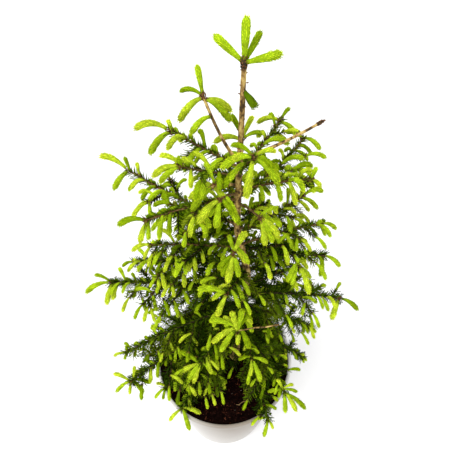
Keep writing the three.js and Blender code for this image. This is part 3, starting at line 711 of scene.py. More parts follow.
def grow_twig(dice, looks, foot, along, angle, reach, shoot_length, droop, height_share):
    direction = turned(along, angle, TWIG_SAG)
    tip = foot + direction * reach
    steps = max(TWIG_LEAST_RINGS, round(reach / TWIG_RING_STEP))
    points = [foot.lerp(tip, step / steps) for step in range(steps + 1)]
    radii = [mix(*TWIG_RADII, step / steps) for step in range(steps + 1)]
    clear = clear_of_pot(points)
    add_needled(looks, points[:clear], radii[:clear], height_share)
    if height_share > SPRAY_LEAST_SHARE:
        grow_tip_shoots(dice, looks, tip, direction, shoot_length * TWIG_SHOOT_SHARE, droop, False)
    else:
        low_foot = tip - direction * TIP_SHOOT_SINK
        add_shoot(looks, low_foot, turned(direction, 0, droop), shoot_length * LOW_SHOOT_SHARE)
    if reach > TWIG_LONG:
        outward = turned(direction, math.copysign(SIDE_SHOOT_ANGLE, angle), SIDE_SHOOT_DROOP)
        add_shoot(looks, foot.lerp(tip, 0.5), outward, shoot_length * MIDDLE_SHOOT_SHARE)
    spacing = mix(FINE_SPACING_TWIG, FINE_SPACING, smoothstep(height_share, *FINE_SPACING_SHARES))
    hand = 1
    distance = FINE_SPACING
    while distance < reach - FINE_SHORTEST:
        rest = reach - distance + FINE_SHORTEST
        grow_fine(looks, foot + direction * distance, direction, hand, rest, height_share)
        hand = -hand
        distance += vary(looks, spacing, LENGTH_SPREAD)


def grow_stations(dice, looks, bough, shoot_length, droop):
    """Side twigs and shoots in turn along a limb; gives the hand of the next one."""
    corners = limb_corners(bough)
    length = limb_length(bough)
    height_share = crown_share(bough.height)
    hand = 1 if dice() < 0.5 else -1
    distance = bough.bare * length + STATION_MARGIN
    while distance < length - STATION_MARGIN:
        rest = length - distance
        foot = bend_point(corners, distance / length)
        along = bend_along(corners, distance / length)
        angle = vary(dice, hand * TWIG_ANGLE, ANGLE_SPREAD)
        scale = vary(dice, 1, LENGTH_SPREAD)
        if rest > TWIG_LEAST_REST:
            reach = bough.spread * clamp(TWIG_SHARE * rest * scale, TWIG_SHORTEST, TWIG_LONGEST)
            grow_twig(dice, looks, foot, along, angle, reach, shoot_length, droop, height_share)
        else:
            outward = turned(along, angle, SIDE_SHOOT_DROOP)
            add_shoot(looks, foot, outward, shoot_length * STATION_SHOOT_SHARE * scale)
        hand = -hand
        distance += vary(dice, STATION_SPACING, LENGTH_SPREAD)
    return hand


def grow_limb_end(dice, looks, bough, seed, shoot_length, droop):
    """Closed bud or fresh shoots at a limb's tip."""
    corners = limb_corners(bough)
    tip = bend_point(corners, 1)
    along = bend_along(corners, 1)
    if bough.bud:
        bud = bud_run(tip, along, CLOSED_BUD)
        crown["collars"].append(bud)
        crown["twigs"].append(bud)
        return
    if bough.tips:
        for count, (size, azimuth, elevation) in enumerate(bough.tips):
            foot = tip - along * (TIP_SHOOT_SINK + count * TIP_STEP)
            tint = TIP_TINTS[(seed + count) % len(TIP_TINTS)]
            add_shoot(looks, foot, heading(azimuth, elevation), size, SHOOT_ARCH, tint)
    else:
        grow_tip_shoots(dice, looks, tip, along, shoot_length, droop, True)
    collar = [tip - along * LIMB_COLLAR_LENGTH, tip]
    crown["collars"].append(even_run(collar, LIMB_TIP_RADIUS + LIMB_COLLAR_PROUD, LIMB_COLLAR_REACH))


def clothe_limb(looks, bough, hand):
    """Wood of a limb, with its old needles and finer growth where it has them."""
    corners = limb_corners(bough)
    length = limb_length(bough)
    height_share = crown_share(bough.height)
    steps = round(length / LIMB_RING_STEP)
    shares = [step / steps for step in range(steps + 1)]
    points = [bend_point(corners, share) for share in shares]
    bark = bark_of(bough)
    thin = BALD_WOOD_SHARE if bark == "bare_boughs" else WOOD_SHARE
    radii = [thin * limb_radius(bough, share) for share in shares]
    crown[bark].append(wood_run(points, radii))
    if bark == "bare_boughs" or length < SHORT_LIMB:
        return
    needled = bough.bare * mix(*NEEDLED_FROM, height_share)
    first = int(needled * steps)
    last = clear_of_pot(points)
    brush = wood_run(points[first:last], radii[first:last], old_reach(height_share))
    crown["old"]["green"].append(brush)
    if bark == "dark_boughs":
        crown["old"]["dark"].append(brush)
    distance = needled * length + FINE_SPACING
    while distance < length - FINE_SPACING:
        share = distance / length
        foot = bend_point(corners, share)
        along = bend_along(corners, share)
        grow_fine(looks, foot, along, hand, length - distance + FINE_SHORTEST, height_share, share)
        hand = -hand
        distance += vary(looks, FINE_SPACING, LENGTH_SPREAD)


def grow_limb(bough, seed):
    dice = make_dice(seed)
    looks = make_dice(seed + FINE_SEED)
    height_share = crown_share(bough.height)
    droop = mix(*TIP_DROOPS, height_share)
    shoot_length = mix(*SHOOT_LENGTHS, height_share) * bough.vigour
    hand = grow_stations(dice, looks, bough, shoot_length, droop)
    grow_limb_end(dice, looks, bough, seed, shoot_length, droop)
    clothe_limb(looks, bough, hand)


def grow_trunk_twigs():
    looks = make_dice(FINE_SEED - 1)
    count = 0
    height = TRUNK_TWIGS_FROM
    while height < TRUNK_TWIGS_TO:
        azimuth = TRUNK_TWIG_FIRST + count * TRUNK_TWIG_TURN % TRUNK_TWIG_ARC
        direction = heading(azimuth, vary(looks, TRUNK_TWIG_LIFT, TRUNK_TWIG_LIFT_SPREAD))
        length = vary(looks, TRUNK_TWIG_LENGTH, TRUNK_TWIG_LENGTH_SPREAD)
        height_share = crown_share(height)
        foot = trunk_point(height)
        rings = range(1, TRUNK_TWIG_RINGS + 1)
        points = [foot + direction * length * ring / TRUNK_TWIG_RINGS for ring in rings]
        radii = [mix(*TRUNK_TWIG_RADII, ring / TRUNK_TWIG_RINGS) for ring in rings]
        add_needled(looks, points, radii, height_share)
        hand = 1
        distance = 2 * FINE_SPACING
        while distance < length:
            rest = length - distance + FINE_SHORTEST
            grow_fine(looks, foot + direction * distance, direction, hand, rest, height_share)
            hand = -hand
            distance += FINE_SPACING
        count += 1
        height += vary(looks, TRUNK_TWIG_STEP, LENGTH_SPREAD)


def grow_trunk_knots():
    """Small knots of old bud scales on the bark, in a spiral up the trunk."""
    height = KNOTS_FROM
    turn = 0
    while height < TRUNK_TOP:
        out = heading(math.degrees(turn), KNOT_LIFT)
        start = trunk_point(height) + out * (trunk_radius(height) - KNOT_SINK)
        crown["collars"].append(even_run([start, start + out * KNOT_LENGTH], KNOT_RADIUS))
        turn += GOLDEN_TURN
        height += KNOT_STEP


def grow_dry_twig():
    points = [Vector(point) for point in DRY_TWIG]
    crown["bare_boughs"].append(even_run(points, DRY_TWIG_RADIUS))


def grow_leader():
    """Leading shoots with their collar, and the sprig below them."""
    looks = make_dice(FINE_SEED)
    foot = trunk_point(TRUNK_TOP) + UP * (CLEAR + LEADER_FOOT)
    for length, azimuth, elevation, tint in LEADER_SHOOTS:
        add_shoot(looks, foot, heading(azimuth, elevation), length, 0, tint)
    collar = bud_run(foot, UP, LEADER_COLLAR)
    crown["collars"].append(collar)
    crown["twigs"].append(collar)
    direction = heading(SPRIG_AZIMUTH, SPRIG_ELEVATION)
    root = trunk_point(SPRIG_HEIGHT)
    add_shoot(looks, root, direction, SPRIG_STEM + SPRIG_LENGTH, 0, "deep", SPRIG_GIRTH)


# Meshes from arrays

def link(name, data):
    piece = bpy.data.objects.new(name, data)
    bpy.context.scene.collection.objects.link(piece)
    return piece


def mesh_from(name, points, faces):
    mesh = bpy.data.meshes.new(name)
    mesh.from_pydata([tuple(Vector(point) * MM) for point in points], [], faces)
    mesh.shade_smooth()
    mesh.update()
    return mesh


def turns(sides):
    return [2 * math.pi * side / sides for side in range(sides)]


def ring_faces(low, high, sides):
    """Faces between two rings of corners that start at these places in the list."""
    faces = []
    for side in range(sides):
        following = (side + 1) % sides
        faces.append((low + side, low + following, high + following, high + side))
    return faces


def tube(points, radii, sides, relief=None):
    """Closed round run with a ring of corners at each point; relief moves a corner out by its place."""
    corners = []
    faces = []
    across = side_of((points[1] - points[0]).normalized())
    for ring, (point, radius) in enumerate(zip(points, radii)):
        before = points[max(ring - 1, 0)]
        after = points[min(ring + 1, len(points) - 1)]
        along = (after - before).normalized()
        across = (across - along * across.dot(along)).normalized()
        over = along.cross(across)
        for turn in turns(sides):
            out = across * math.cos(turn) + over * math.sin(turn)
            reach = radius if relief is None else radius + relief(point + out * radius, radius)
            corners.append(point + out * reach)
    last = (len(points) - 1) * sides
    for low in range(0, last, sides):
        faces += ring_faces(low, low + sides, sides)
    faces.append(tuple(range(sides - 1, -1, -1)))
    faces.append(tuple(range(last, last + sides)))
    return corners, faces


def joined_tubes(name, runs, sides, relief=None):
    corners = []
    faces = []
    for run in runs:
        more_corners, more_faces = tube(run.points, run.wood, sides, relief)
        shift = len(corners)
        corners.extend(more_corners)
        faces.extend(tuple(index + shift for index in face) for face in more_faces)
    return link(name, mesh_from(name, corners, faces))


def lathe(name, profile, sides):
    """Closed round body from a profile of radius and height that starts and ends on the axis."""
    corners = [Vector((0, 0, profile[0][1]))]
    for radius, height in profile[1:-1]:
        for turn in turns(sides):
            corners.append(Vector((radius * math.cos(turn), radius * math.sin(turn), height)))
    corners.append(Vector((0, 0, profile[-1][1])))
    faces = []
    last = len(corners) - 1
    top = last - sides
    for side in range(sides):
        following = (side + 1) % sides
        faces.append((0, 1 + following, 1 + side))
        faces.append((top + side, top + following, last))
    for low in range(1, top, sides):
        faces += ring_faces(low, low + sides, sides)
    return link(name, mesh_from(name, corners, faces))


# Geometry nodes

def place(tree, kind, inputs=None, **settings):
    """One node in a tree, with its settings, and its inputs joined or set."""
    node = tree.nodes.new(kind)
    for name, value in settings.items():
        setattr(node, name, value)
    for key, value in (inputs or {}).items():
        if isinstance(value, bpy.types.NodeSocket):
            tree.links.new(value, node.inputs[key])
        else:
            node.inputs[key].default_value = value
    return node


def sums(tree, operation, first, second=0.0):
    return place(tree, "ShaderNodeMath", {0: first, 1: second}, operation=operation).outputs[0]


def vector_sums(tree, operation, first, second=(0, 0, 0)):
    return place(tree, "ShaderNodeVectorMath", {0: first, 1: second}, operation=operation).outputs[0]


def scaled(tree, vector, scale):
    return place(tree, "ShaderNodeVectorMath", {0: vector, "Scale": scale}, operation="SCALE").outputs[0]


def combined(tree, x=0.0, y=0.0, z=0.0):
    return place(tree, "ShaderNodeCombineXYZ", {0: x, 1: y, 2: z}).outputs[0]


def swung(tree, first, second, angle):
    """Direction at an angle from the first direction towards the second."""
    return vector_sums(
        tree, "ADD",
        scaled(tree, first, sums(tree, "COSINE", angle)),
        scaled(tree, second, sums(tree, "SINE", angle)))


def stored(tree, name):
    node = place(tree, "GeometryNodeInputNamedAttribute", {"Name": name}, data_type="FLOAT")
    return node.outputs["Attribute"]


def random_between(tree, low, high, seed):
    node = place(tree, "FunctionNodeRandomValue", {2: low, 3: high, "Seed": seed}, data_type="FLOAT")
    return node.outputs[1]


def random_share(tree, spread, seed):
    low = sums(tree, "SUBTRACT", 1.0, spread)
    high = sums(tree, "ADD", 1.0, spread)
    return random_between(tree, low, high, seed)


def new_tree(name, carrier, sizes, bit, result):
    """Empty tree with its carrier, sizes, seed, repeated bit and finish as inputs."""
    tree = bpy.data.node_groups.new(name, "GeometryNodeTree")
    inputs = [(carrier, "Geometry"), *((size, "Float") for size in sizes)]
    inputs += [("Seed", "Int"), (bit, "Object"), ("Finish", "Material")]
    for socket, kind in inputs:
        tree.interface.new_socket(socket, in_out="INPUT", socket_type=f"NodeSocket{kind}")
    tree.interface.new_socket(result, in_out="OUTPUT", socket_type="NodeSocketGeometry")
    return tree, tree.nodes.new("NodeGroupInput").outputs


def plant(tree, points, bit, rotation, size, finish, result):
    """End of a tree: the bit on each point, made real and given its finish."""
    planted = place(tree, "GeometryNodeInstanceOnPoints", {
        "Points": points,
        "Instance": place(tree, "GeometryNodeObjectInfo", {"Object": bit}).outputs["Geometry"],
        "Rotation": rotation,
        "Scale": size,
    })
    real = place(tree, "GeometryNodeRealizeInstances", {"Geometry": planted.outputs["Instances"]})
    finished = place(tree, "GeometryNodeSetMaterial", {"Geometry": real.outputs[0], "Material": finish})
    place(tree, "NodeGroupOutput", {result: finished.outputs["Geometry"]})


def needle_tree():
    """Blades in a spiral along twigs: they lean forward, and comb lifts those that would hang below."""
    sizes = ("Gap", "Length", "Length Spread", "Width", "Lean", "Comb")
    tree, asked = new_tree("needles_along_twigs", "Twigs", sizes, "Blade", "Needles")
    seed = asked["Seed"]
    curves = place(tree, "GeometryNodeMeshToCurve", {"Mesh": asked["Twigs"]})
    spaced = place(tree, "GeometryNodeCurveToPoints", {
        "Curve": curves.outputs["Curve"], "Length": asked["Gap"]}, mode="LENGTH")
    along = spaced.outputs["Tangent"]
    across = spaced.outputs["Normal"]
    over = vector_sums(tree, "CROSS_PRODUCT", along, across)
    index = place(tree, "GeometryNodeInputIndex").outputs[0]
    jitter = random_between(tree, -NEEDLE_JITTER, NEEDLE_JITTER, seed)
    turn = sums(tree, "ADD", sums(tree, "MULTIPLY", index, GOLDEN_TURN), jitter)
    lifted = vector_sums(tree, "ADD", swung(tree, across, over, turn), combined(tree, z=asked["Comb"]))
    out = vector_sums(tree, "NORMALIZE", lifted)
    uneven = random_between(tree, *NEEDLE_LEANS, sums(tree, "ADD", seed, 1.0))
    lean = sums(tree, "MULTIPLY", sums(tree, "MULTIPLY", asked["Lean"], stored(tree, "lean")), uneven)
    seated = place(tree, "GeometryNodeSetPosition", {
        "Geometry": spaced.outputs["Points"],
        "Offset": scaled(tree, out, sums(tree, "MULTIPLY", stored(tree, "wood"), NEEDLE_SEAT)),
    })
    share = random_share(tree, asked["Length Spread"], sums(tree, "ADD", seed, 2.0))
    length = sums(tree, "MULTIPLY", asked["Length"], share)
    length = sums(tree, "MULTIPLY", length, stored(tree, "reach"))
    size = combined(tree, asked["Width"], asked["Width"], length)
    toward = swung(tree, along, out, lean)
    rotation = place(tree, "FunctionNodeAlignRotationToVector", {"Vector": toward}, axis="Z").outputs[0]
    plant(tree, seated.outputs["Geometry"], asked["Blade"], rotation, size, asked["Finish"], "Needles")
    return tree


def scatter_tree():
    """Loose bits over the upward faces of a surface, turned at random between two tilts."""
    sizes = ("Density", "Length", "Width", "Size Spread", "Tilt Low", "Tilt High")
    tree, asked = new_tree("bits_on_soil", "Surface", sizes, "Bit", "Bits")
    seed = asked["Seed"]
    normal = tree.nodes.new("GeometryNodeInputNormal").outputs[0]
    upright = place(tree, "ShaderNodeSeparateXYZ", {0: normal}).outputs["Z"]
    upward = place(tree, "FunctionNodeCompare", {0: upright, 1: FACING_UP}, operation="GREATER_THAN")
    strewn = place(tree, "GeometryNodeDistributePointsOnFaces", {
        "Mesh": asked["Surface"], "Selection": upward.outputs[0],
        "Density": asked["Density"], "Seed": seed})
    tilt = random_between(tree, asked["Tilt Low"], asked["Tilt High"], seed)
    yaw = random_between(tree, 0.0, 2 * math.pi, sums(tree, "ADD", seed, 1.0))
    share = random_share(tree, asked["Size Spread"], sums(tree, "ADD", seed, 2.0))
    width = sums(tree, "MULTIPLY", asked["Width"], share)
    length = sums(tree, "MULTIPLY", asked["Length"], share)
    rotation = combined(tree, x=tilt, z=yaw)
    size = combined(tree, width, width, length)
    plant(tree, strewn.outputs["Points"], asked["Bit"], rotation, size, asked["Finish"], "Bits")
    return tree


def grown(carrier, name, tree, values):
    """Plain mesh piece that a tree makes on a carrier, which is then removed."""
    modifier = carrier.modifiers.new(name, "NODES")
    modifier.node_group = tree
    for item in tree.interface.items_tree:
        if item.in_out == "INPUT" and item.name in values:
            modifier[item.identifier] = values[item.name]
    graph = bpy.context.evaluated_depsgraph_get()
    mesh = bpy.data.meshes.new_from_object(carrier.evaluated_get(graph), depsgraph=graph)
    bpy.data.objects.remove(carrier)
    mesh.name = name
    mesh.shade_smooth()
    return link(name, mesh)


def run_lines(name, runs):
    """Mesh of open lines, one for each run, that keeps the run's sizes on its points."""
    points = []
    edges = []
    values = {"wood": [], "reach": [], "lean": []}
    for run in runs:
        first = len(points)
        points.extend(run.points)
        edges.extend((index, index + 1) for index in range(first, len(points) - 1))
        values["wood"].extend(radius * MM for radius in run.wood)
        values["reach"].extend(run.reach)
        values["lean"].extend(run.lean)
    mesh = bpy.data.meshes.new(name)
    mesh.from_pydata([tuple(point * MM) for point in points], edges, [])
    for key, numbers in values.items():
        mesh.attributes.new(key, "FLOAT", "POINT").data.foreach_set("value", numbers)
    return link(name, mesh)


def needle_template(name):
    """Closed needle of four faces, an edge at its root and one across it at its tip; it isn't kept."""
    corners = [(-0.5, 0, 0), (0.5, 0, 0), (0, -0.3, 1), (0, 0.3, 1)]
    mesh = bpy.data.meshes.new(name)
    mesh.from_pydata(corners, [], [(0, 1, 2), (1, 0, 3), (0, 2, 3), (1, 3, 2)])
    return link(name, mesh)


def blade_template(name, belly, thickness):
    """Closed blade of six faces, one unit long and wide, which the trees plant; it isn't kept."""
    corners = [(0, 0, 0)]
    for turn in turns(3):
        corners.append((0.5 * math.cos(turn), 0.5 * thickness * math.sin(turn), belly))
    corners.append((0, 0, 1))
    faces = []
    for side in range(3):
        following = (side + 1) % 3
        faces.append((0, 1 + following, 1 + side))
        faces.append((1 + side, 1 + following, 4))
    mesh = bpy.data.meshes.new(name)
    mesh.from_pydata(corners, [], faces)
    return link(name, mesh)


# Materials

def object_noise(tree, scale, detail=3.0, roughness=0.6, stretch=(1, 1, 1)):
    where = tree.nodes.new("ShaderNodeTexCoord").outputs["Object"]
    mapped = place(tree, "ShaderNodeMapping", {"Vector": where, "Scale": stretch}).outputs[0]
    grain = place(tree, "ShaderNodeTexNoise", {
        "Vector": mapped, "Scale": scale, "Detail": detail, "Roughness": roughness})
    return grain.outputs["Fac"]


def ramp(tree, share, stops):
    node = place(tree, "ShaderNodeValToRGB", {"Fac": share})
    first, last = node.color_ramp.elements
    first.position, first.color = stops[0][0], (*stops[0][1], 1)
    last.position, last.color = stops[-1][0], (*stops[-1][1], 1)
    for position, colour in stops[1:-1]:
        node.color_ramp.elements.new(position).color = (*colour, 1)
    return node.outputs["Color"]


def finish_material(
        name, stops, *, roughness, grain, relief=0.0, relief_grain=0.0, stretch=(1, 1, 1), specular=0.3):
    """Surface whose colour runs through a few stops with a grain, and whose relief has its own grain."""
    material = bpy.data.materials.new(name)
    material.use_nodes = True
    tree = material.node_tree
    shader = tree.nodes["Principled BSDF"]
    shader.inputs["Roughness"].default_value = roughness
    shader.inputs["Specular IOR Level"].default_value = specular
    colour = ramp(tree, object_noise(tree, grain, stretch=stretch), stops)
    tree.links.new(colour, shader.inputs["Base Color"])
    if relief:
        height = object_noise(tree, relief_grain, detail=RELIEF_DETAIL, stretch=stretch)
        bump = place(tree, "ShaderNodeBump", {
            "Height": height, "Strength": RELIEF_STRENGTH, "Distance": relief * MM})
        tree.links.new(bump.outputs["Normal"], shader.inputs["Normal"])
    return material


def needle_material(name, colour):
    """Waxy needle: a plain colour that a broad grain makes a little lighter and darker."""
    stops = [(stop, tuple(shade * part for part in colour)) for stop, shade in NEEDLE_SHADES]
    return finish_material(name, stops, roughness=0.55, grain=NEEDLE_GRAIN, specular=0)


def kept(piece, slot, *nodes, material=None):
    """Rides a piece on the plant's one body, gives it a material if one is given, and hides the nodes it
    replaces.
    """
    if material is not None:
        piece.data.materials.clear()
        piece.data.materials.append(material)
    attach(piece, "root")
    if nodes:
        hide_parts(*nodes)
    return piece


# Bark

def bark_relief(point, radius):
    """Relief of young bark: long flakes along the wood and small knobs."""
    flakes = noise.noise(Vector((point.x * FLAKE_ACROSS, point.y * FLAKE_ACROSS, point.z * FLAKE_ALONG)))
    knobs = noise.noise(point * KNOB_GRAIN)
    return radius * (FLAKE_SHARE * flakes + KNOB_SHARE * knobs)


def make_trunk(bark):
    foot = SOIL_TOP - TRUNK_SINK
    top = TRUNK_TOP + LEADER_FOOT
    points = []
    radii = []
    for ring in range(TRUNK_RINGS + 1):
        height = mix(foot, top, (ring / TRUNK_RINGS) ** TRUNK_RING_POWER)
        swell = mix(TRUNK_SWELL, 1, smoothstep(height, *TRUNK_SWELL_FADE))
        points.append(trunk_point(height))
        radii.append(swell * trunk_radius(max(height, SOIL_TOP)))
    trunk = joined_tubes("trunk_bark", [wood_run(points, radii)], TRUNK_SIDES, bark_relief)
    kept(trunk, "bark", "trunk", material=bark)


def make_wood():
    tan_bark = finish_material(
        "tan_bark",
        [(0.4, (0.06, 0.034, 0.01)), (0.49, (0.34, 0.2, 0.055)), (0.62, (0.64, 0.46, 0.15))],
        roughness=0.85, grain=150, relief=0.8, relief_grain=500, stretch=(1, 1, 0.6))
    dark_bark = finish_material(
        "twig_bark",
        [(0.3, (0.012, 0.01, 0.003)), (0.55, (0.042, 0.03, 0.009)), (0.75, (0.13, 0.075, 0.022))],
        roughness=0.85, grain=260, relief=0.5, relief_grain=600)
    brown_bark = finish_material(
        "brown_limb_bark",
        [(0.3, (0.03, 0.018, 0.006)), (0.5, (0.13, 0.075, 0.02)), (0.7, (0.32, 0.19, 0.055))],
        roughness=0.85, grain=260, relief=0.5, relief_grain=600)
    make_trunk(tan_bark)
    for name, kind, sides, finish in (
            ("dark_bough_bark", "dark_boughs", LIMB_SIDES, dark_bark),
            ("brown_bough_bark", "brown_boughs", LIMB_SIDES, brown_bark),
            ("bare_bough_bark", "bare_boughs", BARE_LIMB_SIDES, tan_bark)):
        limbs = joined_tubes(name, crown[kind], sides, bark_relief)
        nodes = [f"bough_{bough.name}" for bough in BOUGHS if bough.own and bark_of(bough) == kind]
        kept(limbs, "bark", *nodes, material=finish)
    twigs = joined_tubes("twig_bark", crown["twigs"], TWIG_SIDES)
    masses = ["foliage_top", "foliage_sprig"] + [f"foliage_{bough.name}" for bough in BOUGHS]
    kept(twigs, "foliage", *masses, material=dark_bark)


# Needles and bud scales

def needles_on(name, runs, tree, kind, blade, seed, finish):
    return grown(run_lines(name, runs), name, tree, {
        "Gap": kind.gap * MM, "Length": kind.length * MM, "Length Spread": kind.spread,
        "Width": kind.width * MM, "Lean": math.radians(kind.lean), "Comb": kind.comb,
        "Seed": seed, "Blade": blade, "Finish": finish})


def make_needles():
    tree = needle_tree()
    needle = needle_template("needle_blade")
    scale = blade_template("scale_blade", belly=0.5, thickness=0.5)
    for seed, (tint, colour) in enumerate(FRESH_COLOURS.items()):
        name = f"fresh_needles_{tint}"
        finish = needle_material(name, colour)
        piece = needles_on(name, crown["fresh"][tint], tree, FRESH_NEEDLE, needle, seed, finish)
        kept(piece, "fresh_shoots")
        name = f"fresh_cores_{tint}"
        core = joined_tubes(name, crown["cores"][tint], SHOOT_CORE_SIDES)
        # Core coloured darker than its needles: painted shade in the gaps between them
        shade = tuple(part * whole for part, whole in zip(CORE_SHADE, colour))
        kept(core, "fresh_shoots", material=needle_material(name, shade))
    for seed, (tint, colour) in enumerate(OLD_COLOURS.items(), start=OLD_NEEDLE_SEED):
        name = f"old_needles_{tint}"
        finish = needle_material(name, colour)
        piece = needles_on(name, crown["old"][tint], tree, OLD_NEEDLE, needle, seed, finish)
        kept(piece, "foliage")
    skin = finish_material(
        "bud_scale_skin",
        [(0.35, (0.06, 0.018, 0.008)), (0.55, (0.2, 0.075, 0.022)), (0.75, (0.42, 0.2, 0.06))],
        roughness=0.7, grain=400)
    piece = needles_on("bud_scales", crown["collars"], tree, BUD_SCALE, scale, BUD_SCALE_SEED, skin)
    kept(piece, "foliage")
    bpy.data.objects.remove(needle)
    bpy.data.objects.remove(scale)


# Pot

def pot_radius(height):
    return mix(POT_FOOT_RADIUS, POT_RIM_RADIUS - COLLAR_STEP, height / POT_HEIGHT)


def arc(centre, radius, start, end, steps=6):
    """Points of an arc in a profile, between two angles in degrees."""
    points = []
    for step in range(steps + 1):
        turn = math.radians(mix(start, end, step / steps))
        points.append((centre[0] + radius * math.cos(turn), centre[1] + radius * math.sin(turn)))
    return points


def make_pot():
    collar_foot = POT_HEIGHT - COLLAR_HEIGHT
    collar_middle = pot_radius(collar_foot) + COLLAR_STEP - COLLAR_ROUND
    lip_height = POT_HEIGHT - LIP_ROUND
    inner = pot_radius(POT_HEIGHT) - POT_WALL
    profile = [(0, 0), (POT_FOOT_RADIUS - FOOT_FLAT_INSET, 0)]
    profile += arc((POT_FOOT_RADIUS - FOOT_ROUND_INSET, FOOT_ROUND), FOOT_ROUND, -90, -8)
    profile += [(pot_radius(height), height) for height in POT_WALL_RINGS]
    profile += [(pot_radius(collar_foot) - COLLAR_UNDERCUT, collar_foot - COLLAR_ROUND)]
    profile += arc((collar_middle, collar_foot + COLLAR_ROUND), COLLAR_ROUND, -60, 0, steps=4)
    profile += arc((POT_RIM_RADIUS - LIP_ROUND, lip_height), LIP_ROUND, 0, 90)
    profile += arc((inner + LIP_ROUND, lip_height), LIP_ROUND, 90, 180)
    profile += [(pot_radius(POT_FLOOR) - POT_WALL, POT_FLOOR), (0, POT_FLOOR)]
    pot = lathe("pot_shell", profile, POT_SIDES)
    plastic = finish_material(
        "pale_pot_plastic",
        [(0.25, (0.78, 0.77, 0.75)), (0.6, (0.84, 0.83, 0.81)), (0.85, (0.88, 0.87, 0.85))],
        roughness=0.42, grain=9, relief=0.15, relief_grain=260, specular=0.4)
    # Paint shade onto the pot's front wall, darker nearer the rim
    add_painted_pot_shade(plastic)
    kept(pot, "pot", "pot", material=plastic)


def ranged(tree, value, limits):
    """Share from none to full as a length goes from one limit to the other."""
    none, full = limits
    node = place(tree, "ShaderNodeMapRange", {
        "Value": value, "From Min": none * MM, "From Max": full * MM})
    return node.outputs[0]


def add_painted_pot_shade(plastic):
    """Painted shade that greys the pot's front, more so nearer the rim, and leaves its right side
    unshaded.
    """
    tree = plastic.node_tree
    shader = tree.nodes["Principled BSDF"]
    unshaded = shader.inputs["Base Color"].links[0].from_socket
    where = tree.nodes.new("ShaderNodeTexCoord").outputs["Object"]
    position = place(tree, "ShaderNodeSeparateXYZ", {0: where}).outputs
    uneven = sums(tree, "MULTIPLY", object_noise(tree, POT_SHADE_GRAIN), POT_SHADE_UNEVEN * MM)
    upper = ranged(tree, sums(tree, "ADD", position["Z"], uneven), POT_SHADE_HEIGHTS)
    aside = sums(tree, "MULTIPLY", position["X"], POT_SHADE_TO_RIGHT)
    front = ranged(tree, sums(tree, "SUBTRACT", position["Y"], aside), POT_SHADE_DEPTHS)
    left = ranged(tree, position["X"], POT_SHADE_RIGHT_EDGE)
    share = sums(tree, "MULTIPLY", sums(tree, "MULTIPLY", upper, front), left)
    # Mix the painted shade's colour into the plastic's own colour
    painted_shade = place(tree, "ShaderNodeMix", {0: share, 6: unshaded, 7: (*POT_SHADE_COLOUR, 1)}, data_type="RGBA")
    tree.links.new(painted_shade.outputs[2], shader.inputs["Base Color"])


# Soil and what lies on it

def soil_height(x, y):
    """Crumbly surface of the soil, a little lower at the wall."""
    spread = math.hypot(x, y) / POT_RIM_RADIUS
    lumps = 0
    for scale, height, layer in SOIL_LUMPS:
        lumps += noise.noise(Vector((x, y, layer)) * scale) * height
    return SOIL_TOP - SOIL_SINK - SOIL_EDGE_DROP * spread ** SOIL_EDGE_POWER + lumps


def soil_disc(centre, edge_at, rings, sides):
    """Corners and faces of a round patch of soil; its edge may differ from turn to turn."""
    corners = [Vector((*centre, soil_height(*centre)))]
    for ring in range(1, rings + 1):
        for turn in turns(sides):
            reach = edge_at(turn) * ring / rings
            x = centre[0] + reach * math.cos(turn)
            y = centre[1] + reach * math.sin(turn)
            corners.append(Vector((x, y, soil_height(x, y))))
    faces = []
    for side in range(sides):
        following = (side + 1) % sides
        faces.append((0, 1 + side, 1 + following))
        for ring in range(rings - 1):
            low = 1 + ring * sides
            faces.append((low + side, low + sides + side, low + sides + following, low + following))
    return corners, faces


def make_soil():
    foot = POT_FLOOR + SOIL_GAP
    edge = pot_radius(SOIL_TOP) - POT_WALL - SOIL_GAP
    foot_edge = pot_radius(foot) - POT_WALL - SOIL_GAP
    corners, faces = soil_disc((0, 0), lambda turn: edge, SOIL_RINGS, SOIL_SIDES)
    rim = len(corners) - SOIL_SIDES
    base = len(corners)
    for turn in turns(SOIL_SIDES):
        corners.append(Vector((foot_edge * math.cos(turn), foot_edge * math.sin(turn), foot)))
    faces += ring_faces(base, rim, SOIL_SIDES)
    faces.append(tuple(range(len(corners) - 1, base - 1, -1)))
    soil = link("soil_body", mesh_from("soil_body", corners, faces))
    peat = finish_material(
        "dark_peat",
        [(0.3, (0.002, 0.001, 0.0008)), (0.55, (0.006, 0.0025, 0.002)), (0.75, (0.02, 0.007, 0.005))],
        roughness=0.95, grain=140, relief=1.5, relief_grain=300, specular=0)
    kept(soil, "soil", "soil", material=peat)


def crumb_template(name):
    """Uneven lump of twenty faces, one unit across, which the scatter tree strews; it isn't kept."""
    mesh = bpy.data.meshes.new(name)
    form = bmesh.new()
    bmesh.ops.create_icosphere(form, subdivisions=1, radius=0.5)
    for corner in form.verts:
        corner.co *= 1 + CRUMB_UNEVEN * noise.noise(corner.co * CRUMB_GRAIN)
    form.to_mesh(mesh)
    form.free()
    return link(name, mesh)


def soil_patch(name, centre, radius, ragged=0):
    """Patch of the soil's surface for what lies or grows on it; its edge may be ragged."""
    def edge_at(turn):
        toward = Vector((math.cos(turn), math.sin(turn), radius))
        return radius * (1 + ragged * noise.noise(toward * MOSS_EDGE_GRAIN))

    return link(name, mesh_from(name, *soil_disc(centre, edge_at, PATCH_RINGS, PATCH_SIDES)))


def strew(name, tree, carrier, bit, finish, *, density, length, width, spread, tilts, seed):
    low, high = tilts
    piece = grown(carrier, name, tree, {
        "Density": density, "Length": length * MM, "Width": width * MM, "Size Spread": spread,
        "Tilt Low": math.radians(low), "Tilt High": math.radians(high),
        "Seed": seed, "Bit": bit, "Finish": finish})
    kept(piece, "soil")


